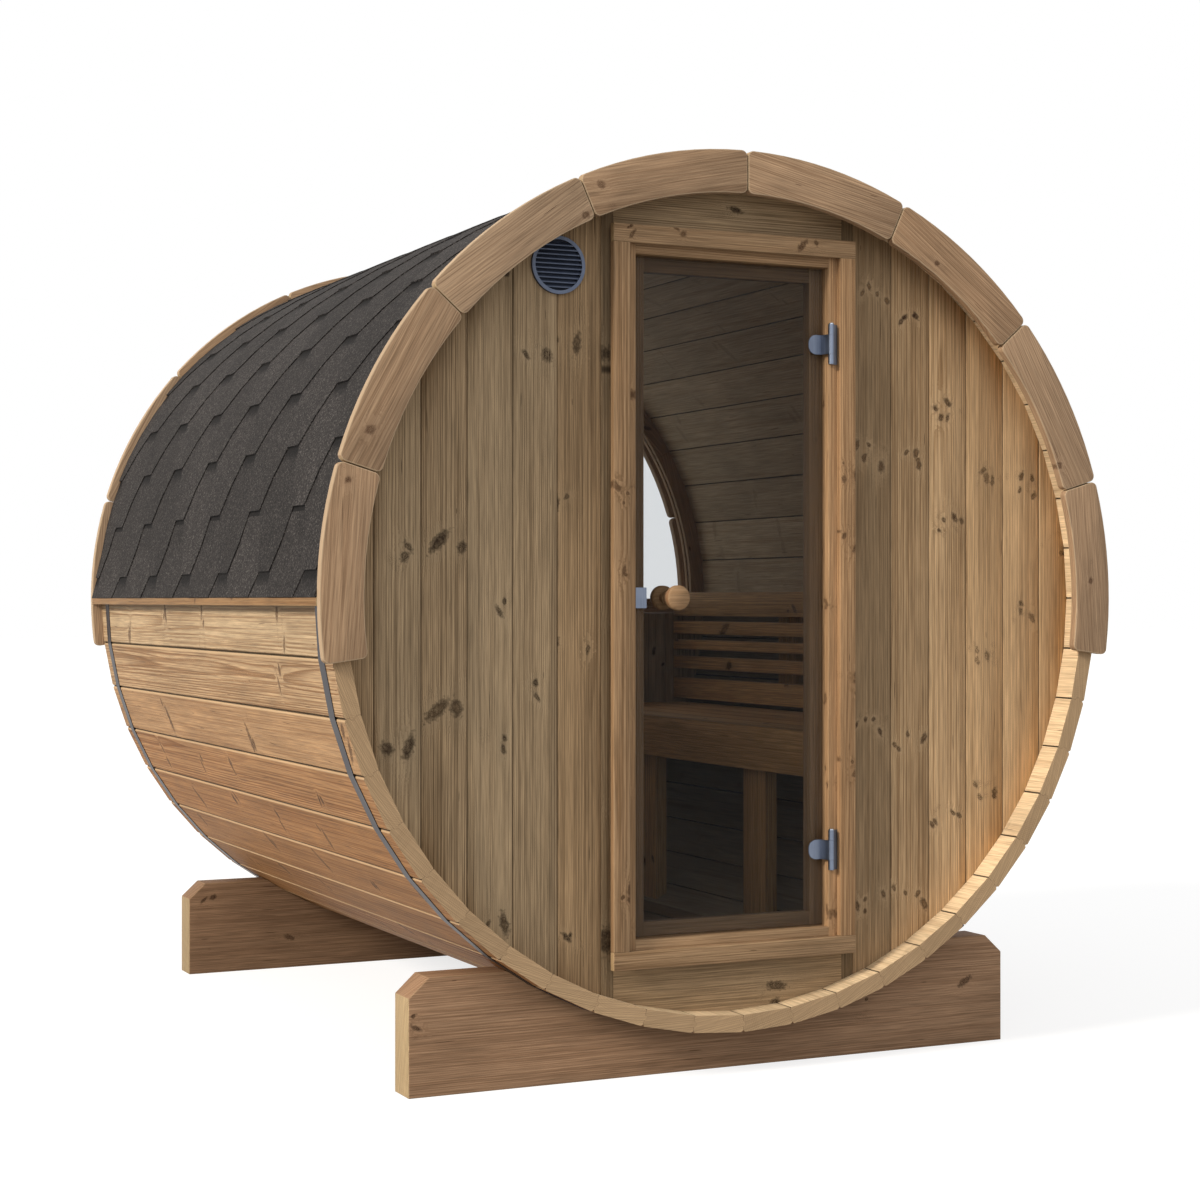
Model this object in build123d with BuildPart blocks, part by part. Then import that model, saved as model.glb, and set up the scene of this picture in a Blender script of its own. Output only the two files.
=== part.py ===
# Barrel sauna: a cabin of staves held by steel bands, lying in two timber cradles.
# Millimetres. +Z is up, the door faces -Y, the barrel lies along Y.
# The origin is on the ground, below the middle of the barrel.
import os
from math import asin, cos, degrees, radians, sin, sqrt, tan

from build123d import *

os.makedirs("parts", exist_ok=True)

# Barrel
barrel_radius = 1020.0  # to the outer corners of the staves
barrel_length = 2140.0
ground_clearance = 101.0  # from the ground to the lowest stave
stave_count = 48
stave_sectors = 4
stave_thickness = 40.0
stave_joint_gap = 0.4
stave_notch = 5.0  # bevel on both outer edges, a small V at every joint
stave_inner_bevel = 2.0
stave_tongue_depth = 6.0  # on one side of each stave, into a groove in the next
stave_tongue_root = 13.0
stave_tongue_tip = 9.0
croze_depth = 8.0  # groove round the inside of the staves, which holds an end wall

# Fits shared by all pieces
seat_clearance = 0.3  # curved faces that bear on each other
board_gap = 0.4  # flat boards side by side

# Cradles
bearer_length = 1600.0
bearer_height = 268.0
bearer_thickness = 89.0
bearer_inset = 97.0  # from the stave ends to the outer face
bearer_chamfer_run = 48.0
bearer_chamfer_drop = 44.0

# Steel bands
band_width = 38.0
band_thickness = 1.5
band_inset = 55.0
band_ear_height = 30.0
band_ear_thickness = 5.0
band_ear_angles = (-51.1, -43.6)  # degrees, below the horizontal on the right
band_bolt_radius = 5.0
band_bolt_height = 19.0  # from the band to the bolt's centre line
band_nut_radius = 9.0
band_nut_thickness = 9.0
band_bolt_end = 22.0  # length of bolt past each ear

# Fascia boards on both ends
fascia_board_count = 8
fascia_board_angle = 24.5
fascia_thickness = 23.0
fascia_overlap = 34.0  # inwards past the staves
fascia_lip = 27.0  # outwards past the staves
fascia_joint_gap = 2.5
fascia_corner_radius = 15.0

# Roof covering
first_course_angle = 11.55  # top of the eave course, above the horizontal
course_angle = 8.45
course_count = 10
course_gap_angle = 0.02
ridge_half_angle = 5.5
shingle_lower_thickness = 9.0
shingle_upper_thickness = 4.0
roof_end_gap = 1.0
eave_batten_height = 18.0
eave_batten_reach = 28.0  # outwards past the staves
eave_shingle_overhang = 5.5  # past the batten
eave_fillet_angle = 6.0  # where the batten's sloping back meets the staves

# End walls
wall_recess = 64.5  # from the stave ends to the outer face
wall_thickness = 40.0
wall_board_pitch = 111.0
wall_board_bevel = 2.5
door_post_width = 30.0  # narrow upright beside the door frame

# Door frame
opening_half_width = 260.0
over_door_height = 131.1  # cross board between the frame and the staves, at the middle
under_door_height = 135.1
jamb_width = 48.0
frame_projection = 20.0  # in front of the wall
stop_width = 36.0
casing_reveal = 22.5  # jamb face left bare inside the casing
casing_width = 42.5
casing_thickness = 19.0

# Glass door
glass_thickness = 8.0
glass_setback = 17.5  # behind the front of the frame
glass_edge_gap = 5.0
glass_latch_gap = 7.0
glass_stop_gap = 5.0

# Hinges
hinge_end_distance = 186.0  # from the ends of the opening to the middle of a hinge
hinge_axis_offset = 2.0  # outside the door opening
knuckle_radius = 7.5
knuckle_frame_gap = 1.0
knuckle_end_gap = 0.5
pin_radius = 4.0
pin_clearance = 0.05
pin_head_radius = 6.0
pin_head_height = 3.0
leaf_thickness = 3.0
leaf_height = 47.0
leaf_length = 49.0  # from the hinge axis to the round end
leaf_neck_start = 16.0  # from the hinge axis to the bend
leaf_neck_end = 8.0
frame_leaf_height = 96.0
frame_leaf_relief = 9.0  # clears the turning knuckle

# Door furniture
knob_edge_distance = 93.0  # from the latch edge of the glass
knob_height = 0.0  # from the barrel's axis
knob_radius = 29.0
knob_neck_radius = 13.0
knob_foot_radius = 19.0
knob_foot_thickness = 6.0
knob_disc_thickness = 21.0
knob_reach = 46.0
knob_edge_bevel = 4.0
catch_width = 28.0
catch_height = 48.0
catch_thickness = 2.0
catch_edge_gap = 1.0

# Vent grille
vent_side_gap = 44.9  # from the door bay to the rim
vent_edge_gap = 26.9  # from the staves to the rim
vent_radius = 66.5
vent_duct_radius = 52.0  # hole through the wall
vent_rim_width = 8.0
vent_rim_thickness = 9.0
louvre_count = 10
louvre_thickness = 2.5
louvre_depth = 9.0
louvre_tilt = 42.0

# Rear window
window_frame_width = 46.5
window_sill_height = 48.0
window_glass_thickness = 10.0
window_rebate = 8.0  # groove in the arch and the sill that holds the pane
arch_segment_count = 6

# Floor
floor_rise = 96.5  # from the lowest stave up to the walking surface
floor_board_count = 7
floor_board_thickness = 22.0
floor_board_gap = 6.0
floor_end_gap = 4.0
floor_joist_count = 3
floor_joist_thickness = 45.0
floor_joist_inset = 260.0  # from the end walls

# Bench along the right side
bench_stand_off = 21.7  # from the edge of the floor to the front of the bench
bench_height = 538.0  # from the floor up to the seat
bench_end_gap = 6.0
bench_front_board_height = 118.0
bench_front_board_thickness = 26.0
bench_board_count = 5
bench_board_thickness = 26.0
bench_board_gap = 5.0
bench_leg_places = (-382.0, 268.0)  # along the barrel
bench_leg_width = 124.0
bench_leg_thickness = 34.0
bench_bearer_height = 80.0
bench_bearer_width = 45.0
bench_back_gap = 6.0

# Backrest over the bench, with heights from the seat
backrest_foot_depth = 38.8  # from the staves to the back of the lowest slat
backrest_slat_thickness = 22.0
backrest_slat_heights = ((15.0, 83.0), (113.0, 154.0), (176.0, 208.0), (227.0, 269.0), (286.0, 363.0))
backrest_post_width = 60.0

# Worked out from the sizes above
axis_height = barrel_radius + ground_clearance
stave_half_angle = 180 / stave_count
stave_outer_flat = barrel_radius * cos(radians(stave_half_angle))
stave_inner_flat = stave_outer_flat - stave_thickness
stave_outer_half = stave_outer_flat * tan(radians(stave_half_angle)) - stave_notch
stave_corner_reach = sqrt(stave_outer_flat**2 + stave_outer_half**2)
inside_radius = stave_inner_flat - seat_clearance
wall_radius = stave_inner_flat + croze_depth - seat_clearance
saddle_radius = stave_corner_reach + seat_clearance
band_inner_flat = stave_outer_flat + seat_clearance
band_outer_radius = (band_inner_flat + band_thickness) / cos(radians(stave_half_angle))
roof_radius = band_outer_radius + seat_clearance
front_end = -barrel_length / 2
rear_end = barrel_length / 2
wall_front = front_end + wall_recess
wall_back = wall_front + wall_thickness
rear_wall_back = rear_end - wall_recess
rear_wall_front = rear_wall_back - wall_thickness
frame_front = wall_front - frame_projection
casing_front = frame_front - casing_thickness
glass_front = frame_front + glass_setback
glass_back = glass_front + glass_thickness
stop_front = glass_back + glass_stop_gap
frame_half_width = opening_half_width + jamb_width
frame_top = inside_radius - over_door_height - board_gap
frame_bottom = under_door_height + board_gap - inside_radius
opening_top = frame_top - jamb_width
opening_bottom = frame_bottom + jamb_width
bay_half_width = frame_half_width + board_gap + door_post_width + board_gap / 2
glass_latch_edge = glass_latch_gap - opening_half_width
hinge_x = opening_half_width + hinge_axis_offset
hinge_y = frame_front - knuckle_frame_gap - knuckle_radius


def cross_section(y):
    # a plane across the barrel, centred on its axis, that extrudes towards the front
    return Plane((0, y, axis_height), x_dir=(1, 0, 0), z_dir=(0, -1, 0))


def turned_section(y, angle):
    # the same plane with its X along a spoke of the barrel
    across, up = polar(1, angle)
    return Plane((0, y, axis_height), x_dir=(across, 0, up), z_dir=(0, -1, 0))


def polar(radius, angle):
    return (radius * cos(radians(angle)), radius * sin(radians(angle)))


def half_chord(radius, height):
    return sqrt(radius**2 - height**2)


def block(x_low, x_high, y_low, y_high, z_low, z_high):
    # a plain timber, with heights from the barrel's axis
    middle = ((x_low + x_high) / 2, (y_low + y_high) / 2, axis_height + (z_low + z_high) / 2)
    with Locations(middle):
        Box(x_high - x_low, y_high - y_low, z_high - z_low)


def round_space(radius, back, length):
    # a round space on the barrel's axis, to cut pieces to the staves or to the groove in them
    with BuildPart() as space:
        with BuildSketch(cross_section(back)):
            Circle(radius)
        extrude(amount=length)
    return space.part


def keep(builder, node):
    builder.part.label = node
    export_step(builder.part, f"parts/{node}.step")


# Cradles
def make_bearer(node, back):
    top = bearer_height - axis_height
    shoulder = bearer_length / 2 - bearer_chamfer_run
    with BuildPart() as bearer:
        with BuildSketch(cross_section(back)):
            with BuildLine():
                Polyline(
                    (-bearer_length / 2, -axis_height),
                    (bearer_length / 2, -axis_height),
                    (bearer_length / 2, top - bearer_chamfer_drop),
                    (shoulder, top),
                    (-shoulder, top),
                    (-bearer_length / 2, top - bearer_chamfer_drop),
                    close=True,
                )
            make_face()
            Circle(saddle_radius, mode=Mode.SUBTRACT)
        extrude(amount=bearer_thickness)
    keep(bearer, node)


make_bearer("front_bearer", front_end + bearer_inset + bearer_thickness)
make_bearer("rear_bearer", rear_end - bearer_inset)


# Staves, tongued and grooved into each other, with a croze near each end that an end wall sits in
def stave_side(radius, out):
    # a place on the upper side of a stave, square to it: out of it on the tongue, into it in the groove
    across, up = polar(radius, stave_half_angle)
    out_across, out_up = polar(out - stave_joint_gap / 2, 90 + stave_half_angle)
    return (across + out_across, up + out_up)


def stave_outline():
    # from the inner face to the outer face up the tongue side, then back down the groove side
    inner_radius = stave_inner_flat / cos(radians(stave_half_angle))
    middle = (inner_radius + barrel_radius) / 2

    def side(out, root, tip):
        return [
            (stave_inner_flat, stave_side(inner_radius, 0)[1] - stave_inner_bevel),
            stave_side(inner_radius + stave_inner_bevel, 0),
            stave_side(middle - root / 2, 0),
            stave_side(middle - tip / 2, out),
            stave_side(middle + tip / 2, out),
            stave_side(middle + root / 2, 0),
            stave_side(barrel_radius - stave_notch, 0),
            (stave_outer_flat, stave_side(barrel_radius, 0)[1] - stave_notch),
        ]

    tongue_side = side(stave_tongue_depth, stave_tongue_root, stave_tongue_tip)
    groove_mouth = stave_tongue_root + stave_joint_gap
    groove_bottom = stave_tongue_tip + stave_joint_gap
    groove_side = side(-stave_tongue_depth, groove_mouth, groove_bottom)
    return tongue_side + [(x, -y) for x, y in reversed(groove_side)]


def make_staves(node, first):
    with BuildPart() as staves:
        for step in range(stave_count // stave_sectors):
            angle = (2 * (first + step) + 1) * stave_half_angle
            with BuildSketch(turned_section(rear_end, angle)):
                Polygon(*stave_outline(), align=None)
            extrude(amount=barrel_length)
        for back in (wall_back, rear_wall_back):
            with BuildSketch(cross_section(back + seat_clearance)):
                RegularPolygon(stave_inner_flat + croze_depth, stave_count, major_radius=False)
            extrude(amount=wall_thickness + 2 * seat_clearance, mode=Mode.SUBTRACT)
    keep(staves, node)


stave_nodes = ("staves_right_upper", "staves_left_upper", "staves_left_lower", "staves_right_lower")
for sector, stave_node in enumerate(stave_nodes):
    make_staves(stave_node, sector * stave_count // stave_sectors)


# Steel bands, bent at every joint of the staves and drawn tight by a bolt through two ears
band_gap_angle = band_ear_angles[1] - band_ear_angles[0]
band_backs = {"front_band": front_end + band_inset + band_width, "rear_band": rear_end - band_inset}
bolt_low = Vector(*polar(band_outer_radius + band_bolt_height, band_ear_angles[0]))
bolt_high = Vector(*polar(band_outer_radius + band_bolt_height, band_ear_angles[1]))
bolt_along = (bolt_high - bolt_low).normalized()
bolt_start = bolt_low - bolt_along * band_bolt_end
bolt_length = (bolt_high - bolt_low).length + 2 * band_bolt_end


def ear_root(angle):
    # the middle of the bent strip's thickness at that angle
    from_stave_middle = angle % (2 * stave_half_angle) - stave_half_angle
    return (band_inner_flat + band_thickness / 2) / cos(radians(from_stave_middle))


def bolt_plane(back):
    middle = (bolt_start.X, back - band_width / 2, axis_height + bolt_start.Y)
    return Plane(middle, x_dir=(0, 1, 0), z_dir=(bolt_along.X, 0, bolt_along.Y))


for band_node, back in band_backs.items():
    with BuildPart() as band:
        with BuildSketch(cross_section(back)):
            RegularPolygon(band_inner_flat + band_thickness, stave_count, major_radius=False)
            RegularPolygon(band_inner_flat, stave_count, major_radius=False, mode=Mode.SUBTRACT)
            with BuildLine():
                ends = [polar(2 * barrel_radius, angle) for angle in band_ear_angles]
                Polyline((0, 0), *ends, close=True)
            make_face(mode=Mode.SUBTRACT)
        extrude(amount=band_width)
        for angle, side in zip(band_ear_angles, (-1, 1)):
            with BuildSketch(turned_section(back, angle)):
                with Locations((ear_root(angle), side * band_ear_thickness / 2)):
                    ear_length = band_thickness / 2 + band_ear_height
                    Rectangle(ear_length, band_ear_thickness, align=(Align.MIN, Align.CENTER))
            extrude(amount=band_width)
        with BuildSketch(bolt_plane(back)):
            Circle(band_bolt_radius + seat_clearance)
        extrude(amount=bolt_length, mode=Mode.SUBTRACT)
    keep(band, band_node)

# the ears lean out from the bolt, so each nut stands off by what its corner needs
nut_stand_off = band_ear_thickness + band_nut_radius * tan(radians(band_gap_angle / 2)) + seat_clearance
nut_place = band_bolt_end - nut_stand_off - band_nut_thickness
with BuildPart() as band_bolts:
    for back in band_backs.values():
        with BuildSketch(bolt_plane(back)):
            Circle(band_bolt_radius)
        extrude(amount=bolt_length)
        for place in (nut_place, bolt_length - nut_place - band_nut_thickness):
            with BuildSketch(bolt_plane(back).offset(place)):
                RegularPolygon(band_nut_radius, 6)
            extrude(amount=band_nut_thickness)
keep(band_bolts, "band_bolts")


# Fascia boards, cut to arcs
def make_fascia(node, back):
    inner_radius = barrel_radius - stave_thickness - fascia_overlap
    outer_radius = barrel_radius + fascia_lip
    half_angle = fascia_board_angle / 2 - degrees(fascia_joint_gap / outer_radius) / 2
    first = 90 - fascia_board_angle * (fascia_board_count - 1) / 2
    with BuildPart() as fascia:
        for step in range(fascia_board_count):
            with BuildSketch(turned_section(back, first + step * fascia_board_angle)) as board:
                with BuildLine():
                    outer = CenterArc((0, 0), outer_radius, -half_angle, 2 * half_angle)
                    inner = CenterArc((0, 0), inner_radius, -half_angle, 2 * half_angle)
                    Line(outer @ 0, inner @ 0)
                    Line(outer @ 1, inner @ 1)
                make_face()
                fillet(board.vertices(), radius=fascia_corner_radius)
            extrude(amount=fascia_thickness)
    keep(fascia, node)


make_fascia("front_fascia", front_end)
make_fascia("rear_fascia", rear_end + fascia_thickness)


# Roof covering: courses that overlap like scales, on a sloping batten at each eave
course_edges = [first_course_angle + step * course_angle for step in range(course_count - 1)]
course_edges.append(90 - ridge_half_angle)


def make_roof_side(node, side):
    def place(radius, angle):
        x, y = polar(radius, angle)
        return (side * x, y)

    eave_reach = barrel_radius + eave_batten_reach + eave_shingle_overhang
    lower_radius = roof_radius + shingle_lower_thickness
    upper_radius = roof_radius + shingle_upper_thickness
    mean_radius = (lower_radius + upper_radius) / 2
    eave_radius = roof_radius + seat_clearance
    eave_top = first_course_angle - course_gap_angle
    eave_middle = (eave_fillet_angle + eave_top) / 2
    with BuildPart() as roof:
        with BuildSketch(cross_section(rear_end - roof_end_gap)):
            with BuildLine():
                Polyline(
                    place(eave_radius, eave_fillet_angle),
                    (side * eave_reach, seat_clearance),
                    (side * eave_reach, seat_clearance + shingle_lower_thickness),
                    place(lower_radius, eave_fillet_angle),
                )
                ThreePointArc(
                    place(lower_radius, eave_fillet_angle),
                    place(mean_radius, eave_middle),
                    place(upper_radius, eave_top),
                )
                Line(place(upper_radius, eave_top), place(eave_radius, eave_top))
                ThreePointArc(
                    place(eave_radius, eave_top),
                    place(eave_radius, eave_middle),
                    place(eave_radius, eave_fillet_angle),
                )
            make_face()
        extrude(amount=barrel_length - 2 * roof_end_gap)
        for low, next_low in zip(course_edges, course_edges[1:]):
            high = next_low - course_gap_angle
            middle = (low + high) / 2
            with BuildSketch(cross_section(rear_end - roof_end_gap)):
                with BuildLine():
                    ThreePointArc(
                        place(roof_radius, low),
                        place(roof_radius, middle),
                        place(roof_radius, high),
                    )
                    ThreePointArc(
                        place(lower_radius, low),
                        place(mean_radius, middle),
                        place(upper_radius, high),
                    )
                    Line(place(roof_radius, low), place(lower_radius, low))
                    Line(place(roof_radius, high), place(upper_radius, high))
                make_face()
            extrude(amount=barrel_length - 2 * roof_end_gap)
    keep(roof, node)


for side, word in ((-1, "left"), (1, "right")):
    make_roof_side(f"roof_shingles_{word}", side)

batten_reach = barrel_radius + eave_batten_reach
batten_low_angle = -degrees(asin(eave_batten_height / roof_radius))
batten_low_x, batten_low_z = polar(roof_radius, batten_low_angle)
batten_middle_x, batten_middle_z = polar(roof_radius, (batten_low_angle + eave_fillet_angle) / 2)
batten_high_x, batten_high_z = polar(roof_radius, eave_fillet_angle)
with BuildPart() as eave_battens:
    for side in (-1, 1):
        with BuildSketch(cross_section(rear_end - roof_end_gap)):
            with BuildLine():
                ThreePointArc(
                    (side * batten_low_x, batten_low_z),
                    (side * batten_middle_x, batten_middle_z),
                    (side * batten_high_x, batten_high_z),
                )
                Polyline(
                    (side * batten_high_x, batten_high_z),
                    (side * batten_reach, 0),
                    (side * batten_reach, batten_low_z),
                    (side * batten_low_x, batten_low_z),
                )
            make_face()
        extrude(amount=barrel_length - 2 * roof_end_gap)
keep(eave_battens, "eave_battens")

cap_half_angle = ridge_half_angle - course_gap_angle
with BuildPart() as ridge_cap:
    with BuildSketch(turned_section(rear_end - roof_end_gap, 90)):
        with BuildLine():
            cap_radius = roof_radius + shingle_lower_thickness
            cap_outer = CenterArc((0, 0), cap_radius, -cap_half_angle, 2 * cap_half_angle)
            cap_inner = CenterArc((0, 0), roof_radius, -cap_half_angle, 2 * cap_half_angle)
            Line(cap_outer @ 0, cap_inner @ 0)
            Line(cap_outer @ 1, cap_inner @ 1)
        make_face()
    extrude(amount=barrel_length - 2 * roof_end_gap)
keep(ridge_cap, "roof_ridge_cap")


# End walls of upright boards, each board bevelled along its outer edges
def upright_boards(joints, outer_face, inner_face, top):
    outward = 1 if outer_face > inner_face else -1
    with BuildPart() as boards:
        with BuildSketch(Plane.XY.offset(axis_height - barrel_radius)):
            for low, high in zip(joints, joints[1:]):
                Polygon(
                    (low + board_gap / 2, inner_face),
                    (high - board_gap / 2, inner_face),
                    (high - board_gap / 2, outer_face - outward * wall_board_bevel),
                    (high - board_gap / 2 - wall_board_bevel, outer_face),
                    (low + board_gap / 2 + wall_board_bevel, outer_face),
                    (low + board_gap / 2, outer_face - outward * wall_board_bevel),
                    align=None,
                )
        extrude(amount=barrel_radius + top)
        add(round_space(wall_radius, max(outer_face, inner_face), wall_thickness), mode=Mode.INTERSECT)
    return boards


def joints_outwards(start):
    joints = [start]
    while joints[-1] + wall_board_pitch < wall_radius:
        joints.append(joints[-1] + wall_board_pitch)
    joints.append(wall_radius)
    return joints


# the vent's duct goes through the left side, beside the door bay and under the staves
vent_offset = -(bay_half_width + vent_side_gap + vent_radius)
vent_height = half_chord(inside_radius - vent_edge_gap - vent_radius, vent_offset)
vent_centre = (vent_offset, vent_height)

side_joints = joints_outwards(bay_half_width)
keep(upright_boards(side_joints, wall_front, wall_back, barrel_radius), "front_wall_right")
with BuildPart() as left_wall:
    add(upright_boards([-x for x in reversed(side_joints)], wall_front, wall_back, barrel_radius).part)
    with BuildSketch(cross_section(wall_back)):
        with Locations(vent_centre):
            Circle(vent_duct_radius)
    extrude(amount=wall_thickness, mode=Mode.SUBTRACT)
keep(left_wall, "front_wall_left")

rear_joints = joints_outwards(wall_board_pitch / 2)
rear_joints = [-x for x in reversed(rear_joints)] + rear_joints
rear_wall_top = -window_sill_height - board_gap
keep(upright_boards(rear_joints, rear_wall_back, rear_wall_front, rear_wall_top), "rear_wall_boards")


# Door bay: a narrow upright on each side, with cross boards over and under the door frame
def bay_piece(x_low, x_high, z_low, z_high):
    block(x_low, x_high, wall_front, wall_back, z_low, z_high)


with BuildPart() as door_posts:
    for side in (-1, 1):
        edges = sorted((side * (frame_half_width + board_gap), side * (bay_half_width - board_gap / 2)))
        bay_piece(*edges, -barrel_radius, barrel_radius)
    add(round_space(wall_radius, wall_back, wall_thickness), mode=Mode.INTERSECT)
keep(door_posts, "door_posts")

with BuildPart() as cross_boards:
    bay_piece(-frame_half_width, frame_half_width, frame_top + board_gap, barrel_radius)
    bay_piece(-frame_half_width, frame_half_width, -barrel_radius, frame_bottom - board_gap)
    add(round_space(wall_radius, wall_back, wall_thickness), mode=Mode.INTERSECT)
keep(cross_boards, "front_wall_cross_boards")

# Door frame: jambs, rails and the stops that the glass closes towards
with BuildPart() as jambs:
    for side in (-1, 1):
        edges = sorted((side * opening_half_width, side * frame_half_width))
        block(*edges, frame_front, wall_back, frame_bottom, frame_top)
keep(jambs, "door_jambs")

with BuildPart() as frame_rails:
    block(-opening_half_width, opening_half_width, frame_front, wall_back, opening_top, frame_top)
    block(-opening_half_width, opening_half_width, frame_front, wall_back, frame_bottom, opening_bottom)
keep(frame_rails, "door_frame_rails")

with BuildPart() as stop_stiles:
    for side in (-1, 1):
        edges = sorted((side * (opening_half_width - stop_width), side * opening_half_width))
        block(*edges, stop_front, wall_back, opening_bottom, opening_top)
keep(stop_stiles, "door_stop_stiles")

stop_half_width = opening_half_width - stop_width
with BuildPart() as stop_rails:
    for low in (opening_top - stop_width, opening_bottom):
        block(-stop_half_width, stop_half_width, stop_front, wall_back, low, low + stop_width)
keep(stop_rails, "door_stop_rails")

casing_inner = opening_half_width + casing_reveal
casing_outer = casing_inner + casing_width
casing_inner_top = opening_top + casing_reveal
casing_inner_bottom = opening_bottom - casing_reveal
with BuildPart() as casing_stiles:
    for side in (-1, 1):
        edges = sorted((side * casing_inner, side * casing_outer))
        block(*edges, casing_front, frame_front, casing_inner_bottom, casing_inner_top)
keep(casing_stiles, "casing_stiles")

with BuildPart() as casing_rails:
    for low, high in (
        (casing_inner_top, casing_inner_top + casing_width),
        (casing_inner_bottom - casing_width, casing_inner_bottom),
    ):
        block(-casing_outer, casing_outer, casing_front, frame_front, low, high)
keep(casing_rails, "casing_rails")

# Glass door
with BuildPart() as door_glass:
    block(
        glass_latch_edge,
        opening_half_width - glass_edge_gap,
        glass_front,
        glass_back,
        opening_bottom + glass_edge_gap,
        opening_top - glass_edge_gap,
    )
keep(door_glass, "door_glass")

# Hinges: a turning leaf on the glass, a fixed leaf on the jamb and a pin through both
hinge_heights = [
    axis_height + opening_bottom + hinge_end_distance,
    axis_height + opening_top - hinge_end_distance,
]
leaf_front = glass_front - leaf_thickness

with BuildPart() as door_leaves:
    for height in hinge_heights:
        with BuildSketch(Plane.XY.offset(height - leaf_height / 2)):
            Polygon(
                (hinge_x - leaf_length, leaf_front),
                (hinge_x - leaf_neck_start, leaf_front),
                (hinge_x - leaf_neck_end, hinge_y - leaf_thickness),
                (hinge_x, hinge_y - leaf_thickness),
                (hinge_x, hinge_y),
                (hinge_x - leaf_neck_end + leaf_thickness, hinge_y),
                (hinge_x - leaf_neck_start + leaf_thickness, glass_front),
                (hinge_x - leaf_length, glass_front),
                align=None,
            )
            with Locations((hinge_x, hinge_y)):
                Circle(knuckle_radius)
        extrude(amount=leaf_height)
    round_ends = door_leaves.edges().filter_by(Axis.Y).group_by(Axis.X)[0]
    fillet(round_ends, radius=leaf_height / 2 - leaf_thickness)
    with BuildSketch(Plane.XY.offset(hinge_heights[0] - leaf_height)):
        with Locations((hinge_x, hinge_y)):
            Circle(pin_radius + pin_clearance)
    extrude(amount=hinge_heights[1] - hinge_heights[0] + 2 * leaf_height, mode=Mode.SUBTRACT)
keep(door_leaves, "door_hinge_leaves")

knuckle_length = (frame_leaf_height - leaf_height) / 2 - knuckle_end_gap
with BuildPart() as frame_leaves:
    for height in hinge_heights:
        with BuildSketch(Plane.XY.offset(height - frame_leaf_height / 2)):
            with Locations((hinge_x + frame_leaf_relief, frame_front - leaf_thickness)):
                Rectangle(
                    casing_inner - seat_clearance - hinge_x - frame_leaf_relief,
                    leaf_thickness,
                    align=(Align.MIN, Align.MIN),
                )
        extrude(amount=frame_leaf_height)
        for start in (height - frame_leaf_height / 2, height + frame_leaf_height / 2 - knuckle_length):
            with BuildSketch(Plane.XY.offset(start)):
                with Locations((hinge_x, hinge_y)):
                    Circle(knuckle_radius)
                with Locations((hinge_x, frame_front - leaf_thickness)):
                    Rectangle(frame_leaf_relief, leaf_thickness, align=(Align.MIN, Align.MIN))
            extrude(amount=knuckle_length)
    with BuildSketch(Plane.XY.offset(hinge_heights[0] - frame_leaf_height)):
        with Locations((hinge_x, hinge_y)):
            Circle(pin_radius + pin_clearance)
    extrude(amount=hinge_heights[1] - hinge_heights[0] + 2 * frame_leaf_height, mode=Mode.SUBTRACT)
keep(frame_leaves, "hinge_frame_leaves")

with BuildPart() as hinge_pins:
    for height in hinge_heights:
        with BuildSketch(Plane.XY.offset(height - frame_leaf_height / 2)):
            with Locations((hinge_x, hinge_y)):
                Circle(pin_radius)
        extrude(amount=frame_leaf_height)
        with BuildSketch(Plane.XY.offset(height + frame_leaf_height / 2)):
            with Locations((hinge_x, hinge_y)):
                Circle(pin_head_radius)
        extrude(amount=pin_head_height)
keep(hinge_pins, "hinge_pins")


# Turned knobs on both faces of the glass
knob_offset = glass_latch_edge + knob_edge_distance


def make_knob(node, face, outward):
    # profile in a plane through the knob's axis: across is the radius, up is the way out of the glass
    profile = Plane((knob_offset, face, axis_height + knob_height), x_dir=(1, 0, 0), z_dir=(0, 0, outward))
    disc_start = knob_reach - knob_disc_thickness
    with BuildPart() as knob:
        with BuildSketch(profile):
            with BuildLine():
                Polyline(
                    (0, 0),
                    (knob_foot_radius, 0),
                    (knob_foot_radius, knob_foot_thickness),
                    (knob_neck_radius, knob_foot_thickness + knob_foot_radius - knob_neck_radius),
                    (knob_neck_radius, disc_start),
                    (knob_radius - knob_edge_bevel, disc_start),
                    (knob_radius, disc_start + knob_edge_bevel),
                    (knob_radius, knob_reach - knob_edge_bevel),
                    (knob_radius - knob_edge_bevel, knob_reach),
                    (0, knob_reach),
                    close=True,
                )
            make_face()
        revolve(axis=Axis((knob_offset, face, axis_height + knob_height), (0, outward, 0)))
    keep(knob, node)


make_knob("door_knob_outside", glass_front, -1)
make_knob("door_knob_inside", glass_back, 1)

with BuildPart() as catch_plate:
    catch_left = glass_latch_edge + catch_edge_gap
    block(
        catch_left,
        catch_left + catch_width,
        glass_front - catch_thickness,
        glass_front,
        knob_height - catch_height / 2,
        knob_height + catch_height / 2,
    )
keep(catch_plate, "door_catch_plate")

# Round vent grille, with tilted louvres that end in its rim
louvre_span = 2 * (vent_radius - vent_rim_width)
with BuildPart() as vent_grille:
    with BuildSketch(cross_section(wall_front)):
        with Locations(vent_centre):
            Circle(vent_radius)
            Circle(vent_radius - vent_rim_width, mode=Mode.SUBTRACT)
    extrude(amount=vent_rim_thickness)
    for step in range(louvre_count):
        rise = louvre_span * ((step + 1) / (louvre_count + 1)) - louvre_span / 2
        length = 2 * half_chord(vent_radius - vent_rim_width / 2, rise)
        middle = (vent_offset, wall_front - vent_rim_thickness / 2, axis_height + vent_height + rise)
        with Locations(Location(middle, (louvre_tilt, 0, 0))):
            Box(length, louvre_depth, louvre_thickness)
keep(vent_grille, "vent_grille")

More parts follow.
